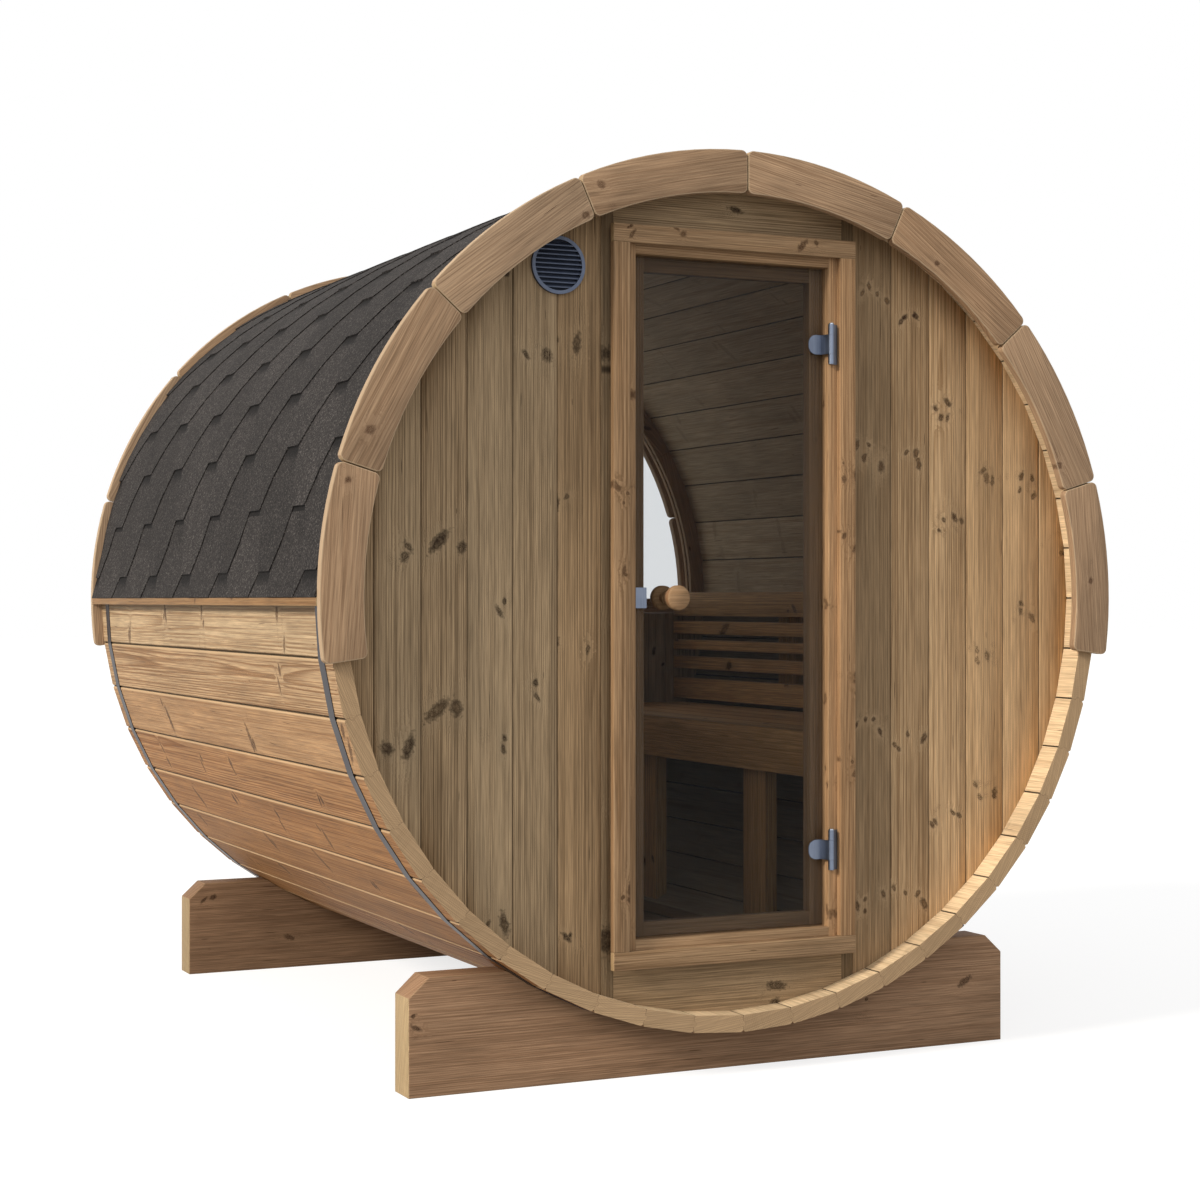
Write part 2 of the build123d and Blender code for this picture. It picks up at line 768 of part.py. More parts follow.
# Half-moon window over the rear wall, its pane held in a groove in the arch and the sill
window_radius = inside_radius - window_frame_width
pane_middle = (rear_wall_front + rear_wall_back) / 2


def half_moon(radius, drop, thickness):
    with BuildPart() as moon:
        with BuildSketch(cross_section(pane_middle + thickness / 2)):
            Circle(radius)
            with Locations((0, -drop)):
                Rectangle(2 * radius, 2 * radius, align=(Align.CENTER, Align.MIN), mode=Mode.INTERSECT)
        extrude(amount=thickness)
    return moon.part


groove_width = window_glass_thickness + 2 * seat_clearance
pane_groove = half_moon(window_radius + window_rebate, window_rebate, groove_width)
with BuildPart() as window_arch:
    segment_angle = 180 / arch_segment_count
    half_angle = segment_angle / 2 - degrees(board_gap / inside_radius) / 2
    for step in range(arch_segment_count):
        with BuildSketch(turned_section(rear_wall_back, (step + 1 / 2) * segment_angle)):
            with BuildLine():
                arch_outer = CenterArc((0, 0), wall_radius, -half_angle, 2 * half_angle)
                arch_inner = CenterArc((0, 0), window_radius, -half_angle, 2 * half_angle)
                Line(arch_outer @ 0, arch_inner @ 0)
                Line(arch_outer @ 1, arch_inner @ 1)
            make_face()
        extrude(amount=wall_thickness)
    add(pane_groove, mode=Mode.SUBTRACT)
keep(window_arch, "rear_window_arch")

with BuildPart() as window_sill:
    block(-barrel_radius, barrel_radius, rear_wall_front, rear_wall_back, -window_sill_height, 0)
    add(round_space(wall_radius, rear_wall_back, wall_thickness), mode=Mode.INTERSECT)
    add(pane_groove, mode=Mode.SUBTRACT)
keep(window_sill, "rear_window_sill")

with BuildPart() as window_glass:
    pane_bite = window_rebate - seat_clearance
    add(half_moon(window_radius + pane_bite, pane_bite, window_glass_thickness))
keep(window_glass, "rear_window_glass")

# Floor of boards along the barrel, on joists cut to the round of the staves
floor_drop = inside_radius - floor_rise
board_bottom = floor_drop + floor_board_thickness
floor_half_width = half_chord(inside_radius, board_bottom) - floor_board_gap
floor_board_pitch = (2 * floor_half_width + floor_board_gap) / floor_board_count
with BuildPart() as floor_boards:
    for step in range(floor_board_count):
        low = -floor_half_width + step * floor_board_pitch
        block(
            low,
            low + floor_board_pitch - floor_board_gap,
            wall_back + floor_end_gap,
            rear_wall_front - floor_end_gap,
            -board_bottom,
            -floor_drop,
        )
keep(floor_boards, "floor_boards")

joist_first = wall_back + floor_joist_inset
joist_pitch = (rear_wall_front - floor_joist_inset - joist_first) / (floor_joist_count - 1)
with BuildPart() as floor_joists:
    for step in range(floor_joist_count):
        middle = joist_first + step * joist_pitch
        with BuildSketch(cross_section(middle + floor_joist_thickness / 2)):
            Circle(inside_radius)
            with Locations((0, -board_bottom)):
                joist_width = 2 * floor_half_width
                Rectangle(joist_width, barrel_radius, align=(Align.CENTER, Align.MAX), mode=Mode.INTERSECT)
        extrude(amount=floor_joist_thickness)
keep(floor_joists, "floor_joists")


# Bench: pieces that run out to the staves are cut to their round
bench_start = wall_back + bench_end_gap
bench_stop = rear_wall_front - bench_end_gap
bench_front = floor_half_width + bench_stand_off
bench_drop = floor_drop - bench_height
seat_bottom = -bench_drop - bench_board_thickness
seat_front = bench_front + bench_front_board_thickness
seat_back = half_chord(inside_radius, seat_bottom) - bench_back_gap

with BuildPart() as bench_front_board:
    front_board_bottom = -bench_drop - bench_front_board_height
    block(bench_front, seat_front, bench_start, bench_stop, front_board_bottom, -bench_drop)
keep(bench_front_board, "bench_front_board")

seat_board_pitch = (seat_back - seat_front) / bench_board_count
with BuildPart() as bench_seat:
    for step in range(bench_board_count):
        low = seat_front + bench_board_gap + step * seat_board_pitch
        block(
            low,
            low + seat_board_pitch - bench_board_gap,
            bench_start,
            bench_stop,
            seat_bottom,
            -bench_drop,
        )
keep(bench_seat, "bench_seat_boards")


def make_bench_supports(node, x_low, x_high, width, z_low, z_high):
    with BuildPart() as supports:
        for place in bench_leg_places:
            block(x_low, x_high, place - width / 2, place + width / 2, z_low, z_high)
        add(round_space(inside_radius, rear_wall_front, rear_wall_front - wall_back), mode=Mode.INTERSECT)
    keep(supports, node)


leg_back = seat_front + bench_leg_thickness
make_bench_supports("bench_legs", seat_front, leg_back, bench_leg_width, -barrel_radius, seat_bottom)
bench_bearer_bottom = seat_bottom - bench_bearer_height
make_bench_supports(
    "bench_bearers", leg_back, barrel_radius, bench_bearer_width, bench_bearer_bottom, seat_bottom
)

backrest_top = backrest_slat_heights[-1][1] - bench_drop
backrest_bottom = backrest_slat_heights[0][0] - bench_drop
backrest_back = half_chord(inside_radius, backrest_bottom) - backrest_foot_depth
backrest_front = backrest_back - backrest_slat_thickness
with BuildPart() as backrest_slats:
    for low, high in backrest_slat_heights:
        block(backrest_front, backrest_back, bench_start, bench_stop, low - bench_drop, high - bench_drop)
keep(backrest_slats, "backrest_slats")

make_bench_supports(
    "backrest_posts", backrest_back, barrel_radius, backrest_post_width, backrest_bottom, backrest_top
)
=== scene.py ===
import math
import random

import bmesh
import bpy
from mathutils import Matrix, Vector


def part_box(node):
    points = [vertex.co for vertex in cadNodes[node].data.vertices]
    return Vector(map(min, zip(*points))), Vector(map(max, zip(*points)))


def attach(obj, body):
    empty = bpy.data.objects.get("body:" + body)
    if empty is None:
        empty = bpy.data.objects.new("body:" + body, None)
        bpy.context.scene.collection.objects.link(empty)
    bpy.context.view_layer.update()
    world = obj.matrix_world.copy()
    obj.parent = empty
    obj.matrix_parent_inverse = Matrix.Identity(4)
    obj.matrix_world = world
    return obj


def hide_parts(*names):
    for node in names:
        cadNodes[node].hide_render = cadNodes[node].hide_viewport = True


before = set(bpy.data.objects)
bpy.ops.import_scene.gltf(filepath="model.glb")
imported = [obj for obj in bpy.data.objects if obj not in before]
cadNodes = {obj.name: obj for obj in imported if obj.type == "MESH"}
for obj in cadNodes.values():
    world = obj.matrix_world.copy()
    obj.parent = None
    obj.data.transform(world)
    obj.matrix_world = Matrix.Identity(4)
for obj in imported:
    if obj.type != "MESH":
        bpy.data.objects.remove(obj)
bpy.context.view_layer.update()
collection = bpy.context.scene.collection
print("frame loaded:", len(cadNodes), "nodes")

# the barrel's own measures, read from the frame
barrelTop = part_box("staves_left_upper")[1].z
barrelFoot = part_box("staves_left_lower")[0].z
axisHeight = (barrelTop + barrelFoot) / 2
axisPoint = Vector((0, 0, axisHeight))


class Wire:
    # one output socket of a node tree; sums on it add Math or Vector Math nodes
    def __init__(self, tree, socket=None):
        self.tree = tree
        self.socket = socket

    def node(self, kind, settings, sockets, output=0):
        made = self.tree.nodes.new(kind)
        for name, value in settings.items():
            setattr(made, name, value)
        for key, value in sockets.items():
            if isinstance(value, Wire):
                self.tree.links.new(value.socket, made.inputs[key])
            else:
                made.inputs[key].default_value = value
        return Wire(self.tree, made.outputs[output] if len(made.outputs) else None)

    def of(self, output):
        # another output of the same node
        return Wire(self.tree, self.socket.node.outputs[output])

    def isVector(self):
        return self.socket.type in ("VECTOR", "RGBA")

    def sum(self, operation, first, second):
        pair = {0: first, 1: second}
        vectors = [part for part in pair.values() if isinstance(part, Wire) and part.isVector()]
        if not vectors:
            return self.node("ShaderNodeMath", {"operation": operation}, pair)
        if operation == "MULTIPLY" and len(vectors) == 1:
            size = second if vectors[0] is first else first
            return self.node("ShaderNodeVectorMath", {"operation": "SCALE"}, {0: vectors[0], "Scale": size})
        return self.node("ShaderNodeVectorMath", {"operation": operation}, pair)

    def __lt__(self, other):
        return self.sum("LESS_THAN", self, other)

    def __gt__(self, other):
        return self.sum("GREATER_THAN", self, other)

    def one(self, operation):
        return self.node("ShaderNodeMath", {"operation": operation}, {0: self})

    def parts(self):
        split = self.node("ShaderNodeSeparateXYZ", {}, {"Vector": self}, "X")
        return split, split.of("Y"), split.of("Z")

    def vector(self, x, y, z):
        return self.node("ShaderNodeCombineXYZ", {}, {"X": x, "Y": y, "Z": z})

    def ease(self, low, high):
        # 0 below low, 1 above high, smooth between
        sockets = {"Value": self, "From Min": low, "From Max": high}
        return self.node("ShaderNodeMapRange", {"interpolation_type": "SMOOTHSTEP"}, sockets, "Result")

    def around(self, share):
        # a factor of 1 at the middle of a noise, more or less by a share
        return (self - 0.5) * share + 1

    def mix(self, share, first, second):
        return self.node("ShaderNodeMix", {"data_type": "RGBA"}, {0: share, 6: first, 7: second}, 2)

    def colours(self):
        split = self.node("ShaderNodeSeparateColor", {}, {"Color": self}, "Red")
        return split, split.of("Green"), split.of("Blue")

    def bump(self, strength, distance):
        sockets = {"Strength": strength, "Distance": distance, "Height": self}
        return self.node("ShaderNodeBump", {}, sockets)

    def place(self):
        return self.node("ShaderNodeTexCoord", {}, {}, "Object")

    def attribute(self, name, output):
        return self.node("ShaderNodeAttribute", {"attribute_name": name}, {}, output)

    def flatNoise(self, x, y, detail=1, roughness=0.5):
        settings = {"noise_dimensions": "2D"}
        sockets = {"Vector": self.vector(x, y, 0), "Scale": 1, "Detail": detail, "Roughness": roughness}
        return self.node("ShaderNodeTexNoise", settings, sockets, "Fac")

    def noise(self, vector, scale=1, detail=2, roughness=0.5):
        sockets = {"Vector": vector, "Scale": scale, "Detail": detail, "Roughness": roughness}
        return self.node("ShaderNodeTexNoise", {}, sockets, "Fac")


def overload(name, operation):
    setattr(Wire, f"__{name}__", lambda self, other: self.sum(operation, self, other))
    setattr(Wire, f"__r{name}__", lambda self, other: self.sum(operation, other, self))


for name, operation in (
    ("add", "ADD"),
    ("sub", "SUBTRACT"),
    ("mul", "MULTIPLY"),
    ("truediv", "DIVIDE"),
    ("pow", "POWER"),
    ("mod", "FLOORED_MODULO"),
):
    overload(name, operation)


def startMaterial(name):
    material = bpy.data.materials.new(name)
    material.use_nodes = True
    material.node_tree.nodes.clear()
    return material, Wire(material.node_tree)


def finishMaterial(start, shader):
    start.node("ShaderNodeOutputMaterial", {}, {"Surface": shader})


def finishSurface(start, sockets):
    finishMaterial(start, start.node("ShaderNodeBsdfPrincipled", {}, sockets))


def colour(red, green, blue):
    return (red, green, blue, 1)


# Timber: rings, fibre, knots and checks follow each board's own grain, which its mesh keeps as attributes.
timberLook = {
    "ringGap": 0.0046,  # between year rings
    "ringShare": 0.85,  # how strongly late wood shows
    "sway": 0.013,  # wander of the tree's heart along a board
    "heartAside": 0.17,  # how far the heart may lie to either side of a board
    "heartBehind": 0.035,
    "threadShare": 0.6,  # long dark lines
    "fibreShare": 1.0,
    "streakShare": 0.28,
    "wear": 0.25,  # paleness of eased arrises
    "edgeShade": 0.0,  # painted shade in the joints between boards
    "edgeReach": (0.95, 0.995),  # from the middle of a board, 1 at its edge
    "edgeGlint": 0.0,  # painted highlight on a board's upper edge
    "toneShare": 0.18,  # board to board
    "warm": colour(0.93, 0.86, 0.79),  # tint of the warmest boards; on the staves, painted shade that grows below the axis
    "knotReach": 0.36,  # length of board for each possible whorl of knots
    "knotChance": 0.6,
    "knotCount": 2,
    "knotSpread": 0.095,
    "knotStagger": 0.06,
    "knotSmall": 0.004,
    "knotLarge": 0.012,
    "knotStretch": 1.35,
    "spikeStretch": 2.6,  # of every second knot, cut along its length
    "knotLean": 0.0,  # turn of a knot's longer way from the grain
    "knotTwist": 1.8,
    "trailShare": 0.35,  # shade along the grain beside a knot
    "trailStretch": 8,
    "knotSwell": 0.006,  # how far the rings swing round a knot
    "checkChance": 0.12,
    "checkReach": 0.21,  # length and width of board for each possible check
    "checkRoom": 0.032,
    "checkSlant": 0.10,
    "checkShort": 0.04,
    "checkLonger": 0.16,
    "checkWidth": 0.0009,
    "depthShare": 1.3,  # of the depth in the sideways measure
    "heartDeeper": 0.05,
    "driftStart": 40,
    "driftShare": 1.7,
    "rippleShare": 0.5,
    "ringLeast": 0.3,  # of the faintest rings
    "figureLeast": 0.55,  # of the calmest boards
    "figureRange": 0.6,
    "innerCalm": 0.7,  # what inner faces lose of their figure
    "innerClear": 0.75,  # and of their knots
    "coreLeast": 0.5,
    "coreRange": 0.8,
    "barkLeast": 0.4,  # darkness of the palest knots
    "ringStrength": (75, 50, 0.5),  # by ring, by board, along the grain
    "cloudShare": 0.4,
    # strength of the painted light and shade on the staves' inner faces
    "paintedInnerShare": 0.4,
    "haloBase": 2.718,
    "haloFall": -0.13,
    "haloShare": 0.45,
    "rimShare": 0.6,
    "checkShade": 0.85,
    "sawScale": (90, 420, 30),
    "sawShare": 0.9,
    "sawRings": 0.4,
    "bump": 0.4,
    "bumpDepth": 0.0009,
    "gloss": 0.10,
    "roughness": 0.52,
    "fibreRoughness": 0.2,
}
timberSeeds = {  # factors that spread the chance draws apart
    "whorl": 7.1,
    "knot": 3.7,
    "board": 91,
    "turn": 37,
    "heart": 977,
}
timberScales = {  # of the noises, along and across the grain
    "rag": (120, 120),
    "wander": (0.9, 3),
    "drift": (0.6, 2),
    "ripple": (2.2, 50),
    "fibre": (9, 300),
    "thread": (0.9, 230),
    "streak": (1.1, 55),
    "cloud": (2.6, 12),
}
timberEases = {  # where each mask starts and is full
    "inner": (0, 0.25),
    "core": (0.70, 1.05),
    "rimStart": (0.40, 0.90),
    "rimStop": (0.95, 1.7),
    "trail": (0.3, 1.3),
    "strength": (0.3, 0.65),
    "lateStart": (0.32, 0.85),
    "lateStop": (0.88, 0.99),
    "thread": (0.50, 0.62),
    "streak": (0.50, 0.75),
    "check": (0.55, 1.0),
    "glint": (0.88, 0.91),
}
timberFinishes = {
    "staveTimber": {
        "pale": colour(0.62, 0.44, 0.26),
        "early": colour(0.520, 0.392, 0.246),
        "late": colour(0.270, 0.165, 0.085),
        "streak": colour(0.215, 0.122, 0.058),
        "halo": colour(0.52, 0.395, 0.25),
        "knot": colour(0.050, 0.022, 0.011),
        "end": colour(0.45, 0.305, 0.175),
        # painted shade: lower staves are tinted darker and warmer towards this, by height below the axis
        "warm": colour(0.80, 0.555, 0.385),
        "toneShare": 0.10,
        "edgeShade": 0.85,
        "edgeReach": (0.955, 0.98),
        "edgeGlint": 0.6,
        "heartBehind": 0.028,
        "knotSmall": 0.0046,
        "knotLarge": 0.0100,
        "knotStretch": 2.0,
        "spikeStretch": 3.6,
        "knotSwell": 0.003,
        "trailShare": 0.1,
        "knotLean": 1.45,
        "knotTwist": 0.7,
        "checkChance": 0.25,
    },
    "battenTimber": {
        "pale": colour(0.36, 0.25, 0.15),
        "early": colour(0.265, 0.165, 0.084),
        "late": colour(0.160, 0.087, 0.040),
        "streak": colour(0.200, 0.108, 0.050),
        "halo": colour(0.31, 0.19, 0.10),
        "knot": colour(0.075, 0.036, 0.018),
        "end": colour(0.38, 0.28, 0.16),
    },
    "wallTimber": {
        "pale": colour(0.36, 0.26, 0.16),
        "early": colour(0.410, 0.297, 0.178),
        "late": colour(0.220, 0.148, 0.084),
        "streak": colour(0.150, 0.098, 0.053),
        "halo": colour(0.42, 0.315, 0.195),
        "knot": colour(0.024, 0.014, 0.008),
        "end": colour(0.25, 0.17, 0.09),
        "edgeShade": 0.40,
    },
    # painted sunlight: a lighter, warmer copy of wallTimber for the right wall's boards
    "litWallTimber": {
        "pale": colour(0.46, 0.32, 0.18),
        "early": colour(0.465, 0.316, 0.179),
        "late": colour(0.279, 0.173, 0.087),
        "streak": colour(0.219, 0.128, 0.061),
        "halo": colour(0.51, 0.358, 0.209),
        "knot": colour(0.040, 0.020, 0.011),
        "end": colour(0.28, 0.18, 0.09),
        "warm": colour(1.0, 0.95, 0.88),
        "toneShare": 0.40,
        "edgeShade": 0.50,
        "knotCount": 4,
        "knotLarge": 0.007,
        "spikeStretch": 1.8,
    },
    "frameTimber": {
        "pale": colour(0.38, 0.26, 0.15),
        "early": colour(0.375, 0.244, 0.138),
        "late": colour(0.220, 0.132, 0.068),
        "streak": colour(0.195, 0.113, 0.056),
        "halo": colour(0.33, 0.21, 0.115),
        "knot": colour(0.070, 0.034, 0.017),
        "end": colour(0.38, 0.26, 0.14),
        "toneShare": 0.28,
        "knotChance": 0.55,
        "knotReach": 0.18,
        "knotSmall": 0.0022,
        "knotLarge": 0.006,
        "knotSpread": 0.05,
        "knotCount": 3,
    },
    "stopTimber": {
        "pale": colour(0.20, 0.13, 0.07),
        "early": colour(0.170, 0.108, 0.060),
        "late": colour(0.100, 0.060, 0.031),
        "streak": colour(0.090, 0.052, 0.026),
        "halo": colour(0.15, 0.095, 0.052),
        "knot": colour(0.040, 0.020, 0.010),
        "end": colour(0.17, 0.115, 0.062),
        "knotChance": 0.3,
        "knotSmall": 0.0022,
        "knotLarge": 0.006,
    },
    "fasciaTimber": {
        "pale": colour(0.56, 0.43, 0.29),
        "early": colour(0.438, 0.303, 0.194),
        "late": colour(0.238, 0.147, 0.088),
        "streak": colour(0.225, 0.138, 0.080),
        "halo": colour(0.47, 0.325, 0.21),
        "toneShare": 0.07,
        "knot": colour(0.075, 0.034, 0.018),
        "end": colour(0.45, 0.33, 0.20),
        "ringGap": 0.0044,
        "ringShare": 0.75,
        "threadShare": 0.5,
        "streakShare": 0.2,
        "wear": 0.45,
        "knotChance": 0.5,
        "knotReach": 0.26,
        "knotCount": 1,
        "knotSmall": 0.005,
        "knotLarge": 0.009,
        "knotStretch": 1.2,
    },
    "cradleTimber": {
        "pale": colour(0.40, 0.28, 0.16),
        "early": colour(0.312, 0.194, 0.117),
        "late": colour(0.160, 0.088, 0.049),
        "streak": colour(0.150, 0.080, 0.042),
        "halo": colour(0.33, 0.205, 0.12),
        "knot": colour(0.040, 0.020, 0.011),
        "end": colour(0.39, 0.285, 0.162),
        "ringShare": 0.6,
        "threadShare": 0.4,
        "knotReach": 0.30,
        "knotChance": 0.7,
        "knotSpread": 0.20,
        "knotSmall": 0.003,
        "knotLarge": 0.010,
    },
    "insideTimber": {
        "pale": colour(0.22, 0.15, 0.08),
        "early": colour(0.100, 0.062, 0.028),
        "late": colour(0.058, 0.033, 0.014),
        "streak": colour(0.110, 0.064, 0.032),
        "halo": colour(0.22, 0.14, 0.075),
        "knot": colour(0.030, 0.016, 0.009),
        "end": colour(0.22, 0.14, 0.075),
        "edgeShade": 0.6,
        "knotChance": 0.35,
    },
    "benchTimber": {
        "pale": colour(0.52, 0.34, 0.18),
        "early": colour(0.640, 0.380, 0.165),
        "late": colour(0.430, 0.240, 0.095),
        "streak": colour(0.300, 0.170, 0.074),
        "halo": colour(0.54, 0.35, 0.18),
        "knot": colour(0.060, 0.030, 0.015),
        "end": colour(0.42, 0.27, 0.14),
        "edgeShade": 0.4,
        "knotChance": 0.35,
    },
    "knobTimber": {
        "pale": colour(0.36, 0.24, 0.13),
        "early": colour(0.395, 0.250, 0.138),
        "late": colour(0.255, 0.145, 0.072),
        "streak": colour(0.265, 0.152, 0.076),
        "halo": colour(0.36, 0.23, 0.125),
        "knot": colour(0.10, 0.05, 0.025),
        "end": colour(0.30, 0.16, 0.08),
        "knotChance": 0.0,
        "ringGap": 0.0030,
    },
}


def nearestKnot(start, look, along, across, tone):
    # whorls of knots along a board: gap counts the nearest knot's own radii from its middle
    farAway = 99
    seeds = timberSeeds
    sockets = {"W": along / look["knotReach"], "Scale": 1, "Randomness": 0.5}
    whorl = start.node("ShaderNodeTexVoronoi", {"voronoi_dimensions": "1D"}, sockets, "W")
    luck, bark, _ = whorl.of("Color").colours()
    missed = (luck > look["knotChance"]) * farAway
    gap = farAway
    trail = farAway
    for step in range(look["knotCount"]):
        seed = start.vector(whorl * seeds["whorl"] + step * seeds["knot"], tone * seeds["board"], 0)
        chance = start.node("ShaderNodeTexWhiteNoise", {"noise_dimensions": "2D"}, {"Vector": seed}, "Color")
        red, green, blue = chance.colours()
        offAlong = along - whorl * look["knotReach"] - (green - 0.5) * look["knotStagger"]
        offAcross = across - (red - 0.5) * look["knotSpread"]
        size = blue ** 2 * (look["knotLarge"] - look["knotSmall"]) + look["knotSmall"]
        turn = (green * seeds["turn"] % 1 - 0.5) * look["knotTwist"] + look["knotLean"]
        stretch = look["spikeStretch"] if step % 2 else look["knotStretch"]
        cosine = turn.one("COSINE")
        sine = turn.one("SINE")
        longWay = (offAlong * cosine + offAcross * sine) / stretch
        shortWay = offAcross * cosine - offAlong * sine
        here = (longWay ** 2 + shortWay ** 2) ** 0.5 / size
        gap = start.sum("MINIMUM", gap, here)
        if step == 0:
            trail = ((offAlong / look["trailStretch"]) ** 2 + offAcross ** 2) ** 0.5 / size
    return gap + missed, trail + missed, bark


def shortChecks(start, look, along, across):
    # slanting cracks along the grain
    reach = look["checkReach"]
    room = look["checkRoom"]
    cell = start.vector(along / reach, across / room, 0)
    sockets = {"Vector": cell, "Scale": 1}
    middle = start.node("ShaderNodeTexVoronoi", {"voronoi_dimensions": "2D"}, sockets, "Position")
    luck, extra, lean = middle.of("Color").colours()
    offAlong, offAcross, _ = (cell - middle).parts()
    slant = offAcross * room + offAlong * reach * (lean - 0.5) * look["checkSlant"]
    length = extra * look["checkLonger"] + look["checkShort"]
    gap = ((offAlong / length) ** 2 + (slant / look["checkWidth"]) ** 2) ** 0.5
    return (1 - gap.ease(*timberEases["check"])) * (luck < look["checkChance"])


def makeTimber(name, finish):
    look = {**timberLook, **finish}
    material, start = startMaterial(name)
    along, across, depth = start.attribute("grain", "Vector").parts()
    lateral = across + depth * look["depthShare"]  # one sideways measure for the flat noises
    tone = start.attribute("boardTone", "Fac")
    warmthShade = start.attribute("boardWarmthShade", "Fac")
    edge = start.attribute("edgeShare", "Fac")
    endCut = start.attribute("endCut", "Fac")
    arris = start.attribute("arrisWear", "Fac")
    paintedInner = start.attribute("paintedInnerFace", "Fac")
    inner = paintedInner.one("ABSOLUTE").ease(*timberEases["inner"])
    toneFactor = tone.around(look["toneShare"] * 2)

    def grainNoise(name, detail=1, roughness=0.5):
        alongScale, sideScale = timberScales[name]
        return start.flatNoise(along * alongScale, lateral * sideScale, detail, roughness)

    gap, trail, bark = nearestKnot(start, look, along, across, tone)
    ragged = grainNoise("rag")
    gap = gap * (ragged + 0.5)
    core = (1 - gap.ease(*timberEases["core"])) * (ragged * look["coreRange"] + look["coreLeast"])
    rim = gap.ease(*timberEases["rimStart"]) * (1 - gap.ease(*timberEases["rimStop"]))
    halo = look["haloBase"] ** (gap * gap * look["haloFall"])
    trail = 1 - trail.ease(*timberEases["trail"])

    # year rings round a heart that wanders beside the board
    seed = {"W": tone * timberSeeds["heart"]}
    chance = start.node("ShaderNodeTexWhiteNoise", {"noise_dimensions": "1D"}, seed, "Color")
    aside, behind, vigour = chance.colours()
    behind = behind * look["heartDeeper"] + look["heartBehind"]
    aside = (aside - 0.5) * (2 * look["heartAside"])
    wander = grainNoise("wander") - 0.5
    driftAlong, driftAcross = timberScales["drift"]
    drift = start.flatNoise(along * driftAlong + look["driftStart"], lateral * driftAcross) - 0.5
    heartAcross = across + aside + wander * look["sway"]
    heartDepth = depth + behind + drift * (look["sway"] * look["driftShare"])
    ringPlace = (heartAcross ** 2 + heartDepth ** 2) ** 0.5 + halo * look["knotSwell"]
    ring = (ringPlace / look["ringGap"] + grainNoise("ripple", 0) * look["rippleShare"]) % 1
    byRing, byBoard, byLength = look["ringStrength"]
    strength = start.flatNoise(ringPlace * byRing + tone * byBoard, along * byLength)
    strength = strength.ease(*timberEases["strength"])
    lateWood = ring.ease(*timberEases["lateStart"]) * (1 - ring.ease(*timberEases["lateStop"]))
    lateWood = lateWood * (strength * (1 - look["ringLeast"]) + look["ringLeast"])

    fibre = grainNoise("fibre", 2, 0.6)
    thread = grainNoise("thread", 1, 0.6).ease(*timberEases["thread"])
    streak = grainNoise("streak", 1, 0.6).ease(*timberEases["streak"])
    cloud = grainNoise("cloud")
    check = shortChecks(start, look, along, across)

    # from the rings up: streaks, fibre, board tones, warmth, painted light and shade on inner faces, knots,
    # checks, worn arrises, a painted highlight on upper edges and painted shade in the joints
    calm = 1 - inner * look["innerCalm"]
    figure = (vigour * look["figureRange"] + look["figureLeast"]) * calm
    wood = start.mix(lateWood * figure * look["ringShare"], look["early"], look["late"])
    wood = start.mix(streak * look["streakShare"], wood, look["streak"])
    wood = start.mix(thread * figure * look["threadShare"], wood, look["streak"])
    wood = wood * fibre.around(look["fibreShare"]) * cloud.around(look["cloudShare"])
    wood = wood * toneFactor
    wood = start.mix(halo * look["haloShare"], wood, look["halo"])
    # warm tint; on the staves it is painted shade, growing below the axis
    wood = start.mix(warmthShade * (1 - inner), wood, wood * start.vector(*look["warm"][:3]))
    # painted light and shade on the staves' inner faces
    wood = wood * (paintedInner * look["paintedInnerShare"] + 1)
    wood = start.mix(trail * look["trailShare"], wood, look["streak"])
    outside = 1 - inner * look["innerClear"]
    darkness = bark * (1 - look["barkLeast"]) + look["barkLeast"]
    wood = start.mix(core * outside, wood, start.mix(darkness, look["streak"], look["knot"]))
    wood = start.mix(rim * look["rimShare"] * outside, wood, look["knot"])
    wood = start.mix(check * look["checkShade"], wood, look["knot"])
    wood = start.mix(arris * look["wear"], wood, look["pale"])
    # painted highlight on each board's upper edge
    glint = (0 - edge).ease(*timberEases["glint"]) * (1 - inner)
    wood = start.mix(glint * look["edgeGlint"], wood, look["pale"])
    # painted shade in the joints between boards
    wood = wood * (1 - edge.one("ABSOLUTE").ease(*look["edgeReach"]) * look["edgeShade"])

    # sawn ends: paler, with ring arcs and slanting saw marks
    sawAcross, sawDepth, sawDrop = look["sawScale"]
    saw = start.flatNoise(across * sawAcross + depth * sawDepth, depth * sawDrop)
    sawn = start.mix(lateWood * look["sawRings"], look["end"], look["late"]) * saw.around(look["sawShare"])
    wood = start.mix(endCut, wood, sawn * toneFactor)

    sockets = {
        "Base Color": wood,
        "Roughness": fibre * look["fibreRoughness"] + look["roughness"],
        "Specular IOR Level": look["gloss"],
        "Normal": fibre.bump(look["bump"], look["bumpDepth"]),
    }
    finishSurface(start, sockets)
    return material


timbers = {name: makeTimber(name, finish) for name, finish in timberFinishes.items()}
print("timber finishes made:", len(timbers))


steelLooks = {
    "bandSteel": {
        "base": colour(0.020, 0.017, 0.020),
        "worn": colour(0.055, 0.049, 0.056),
        "roughness": 0.40,
        "draw": (3, 60, 3),  # scale of the drawing marks
    },
    "boltSteel": {
        "base": colour(0.16, 0.155, 0.16),
        "worn": colour(0.24, 0.235, 0.24),
        "roughness": 0.38,
        "draw": (40, 40, 40),
    },
    "hingeSteel": {
        "base": colour(0.125, 0.150, 0.205),
        "worn": colour(0.200, 0.230, 0.295),
        "roughness": 0.34,
        "draw": (400, 400, 8),
    },
    "pinSteel": {
        "base": colour(0.36, 0.40, 0.46),
        "worn": colour(0.48, 0.52, 0.58),
        "roughness": 0.24,
        "draw": (300, 300, 300),
    },
}
steelWear = {
    "cloudScale": 11,
    "wornShare": 0.6,  # of the marks and of the clouds
    "wornEase": (0.35, 0.85),
    "cloudRoughness": 0.22,
    "drawnRoughness": 0.15,
    "bump": 0.12,
    "bumpDepth": 0.0004,
}


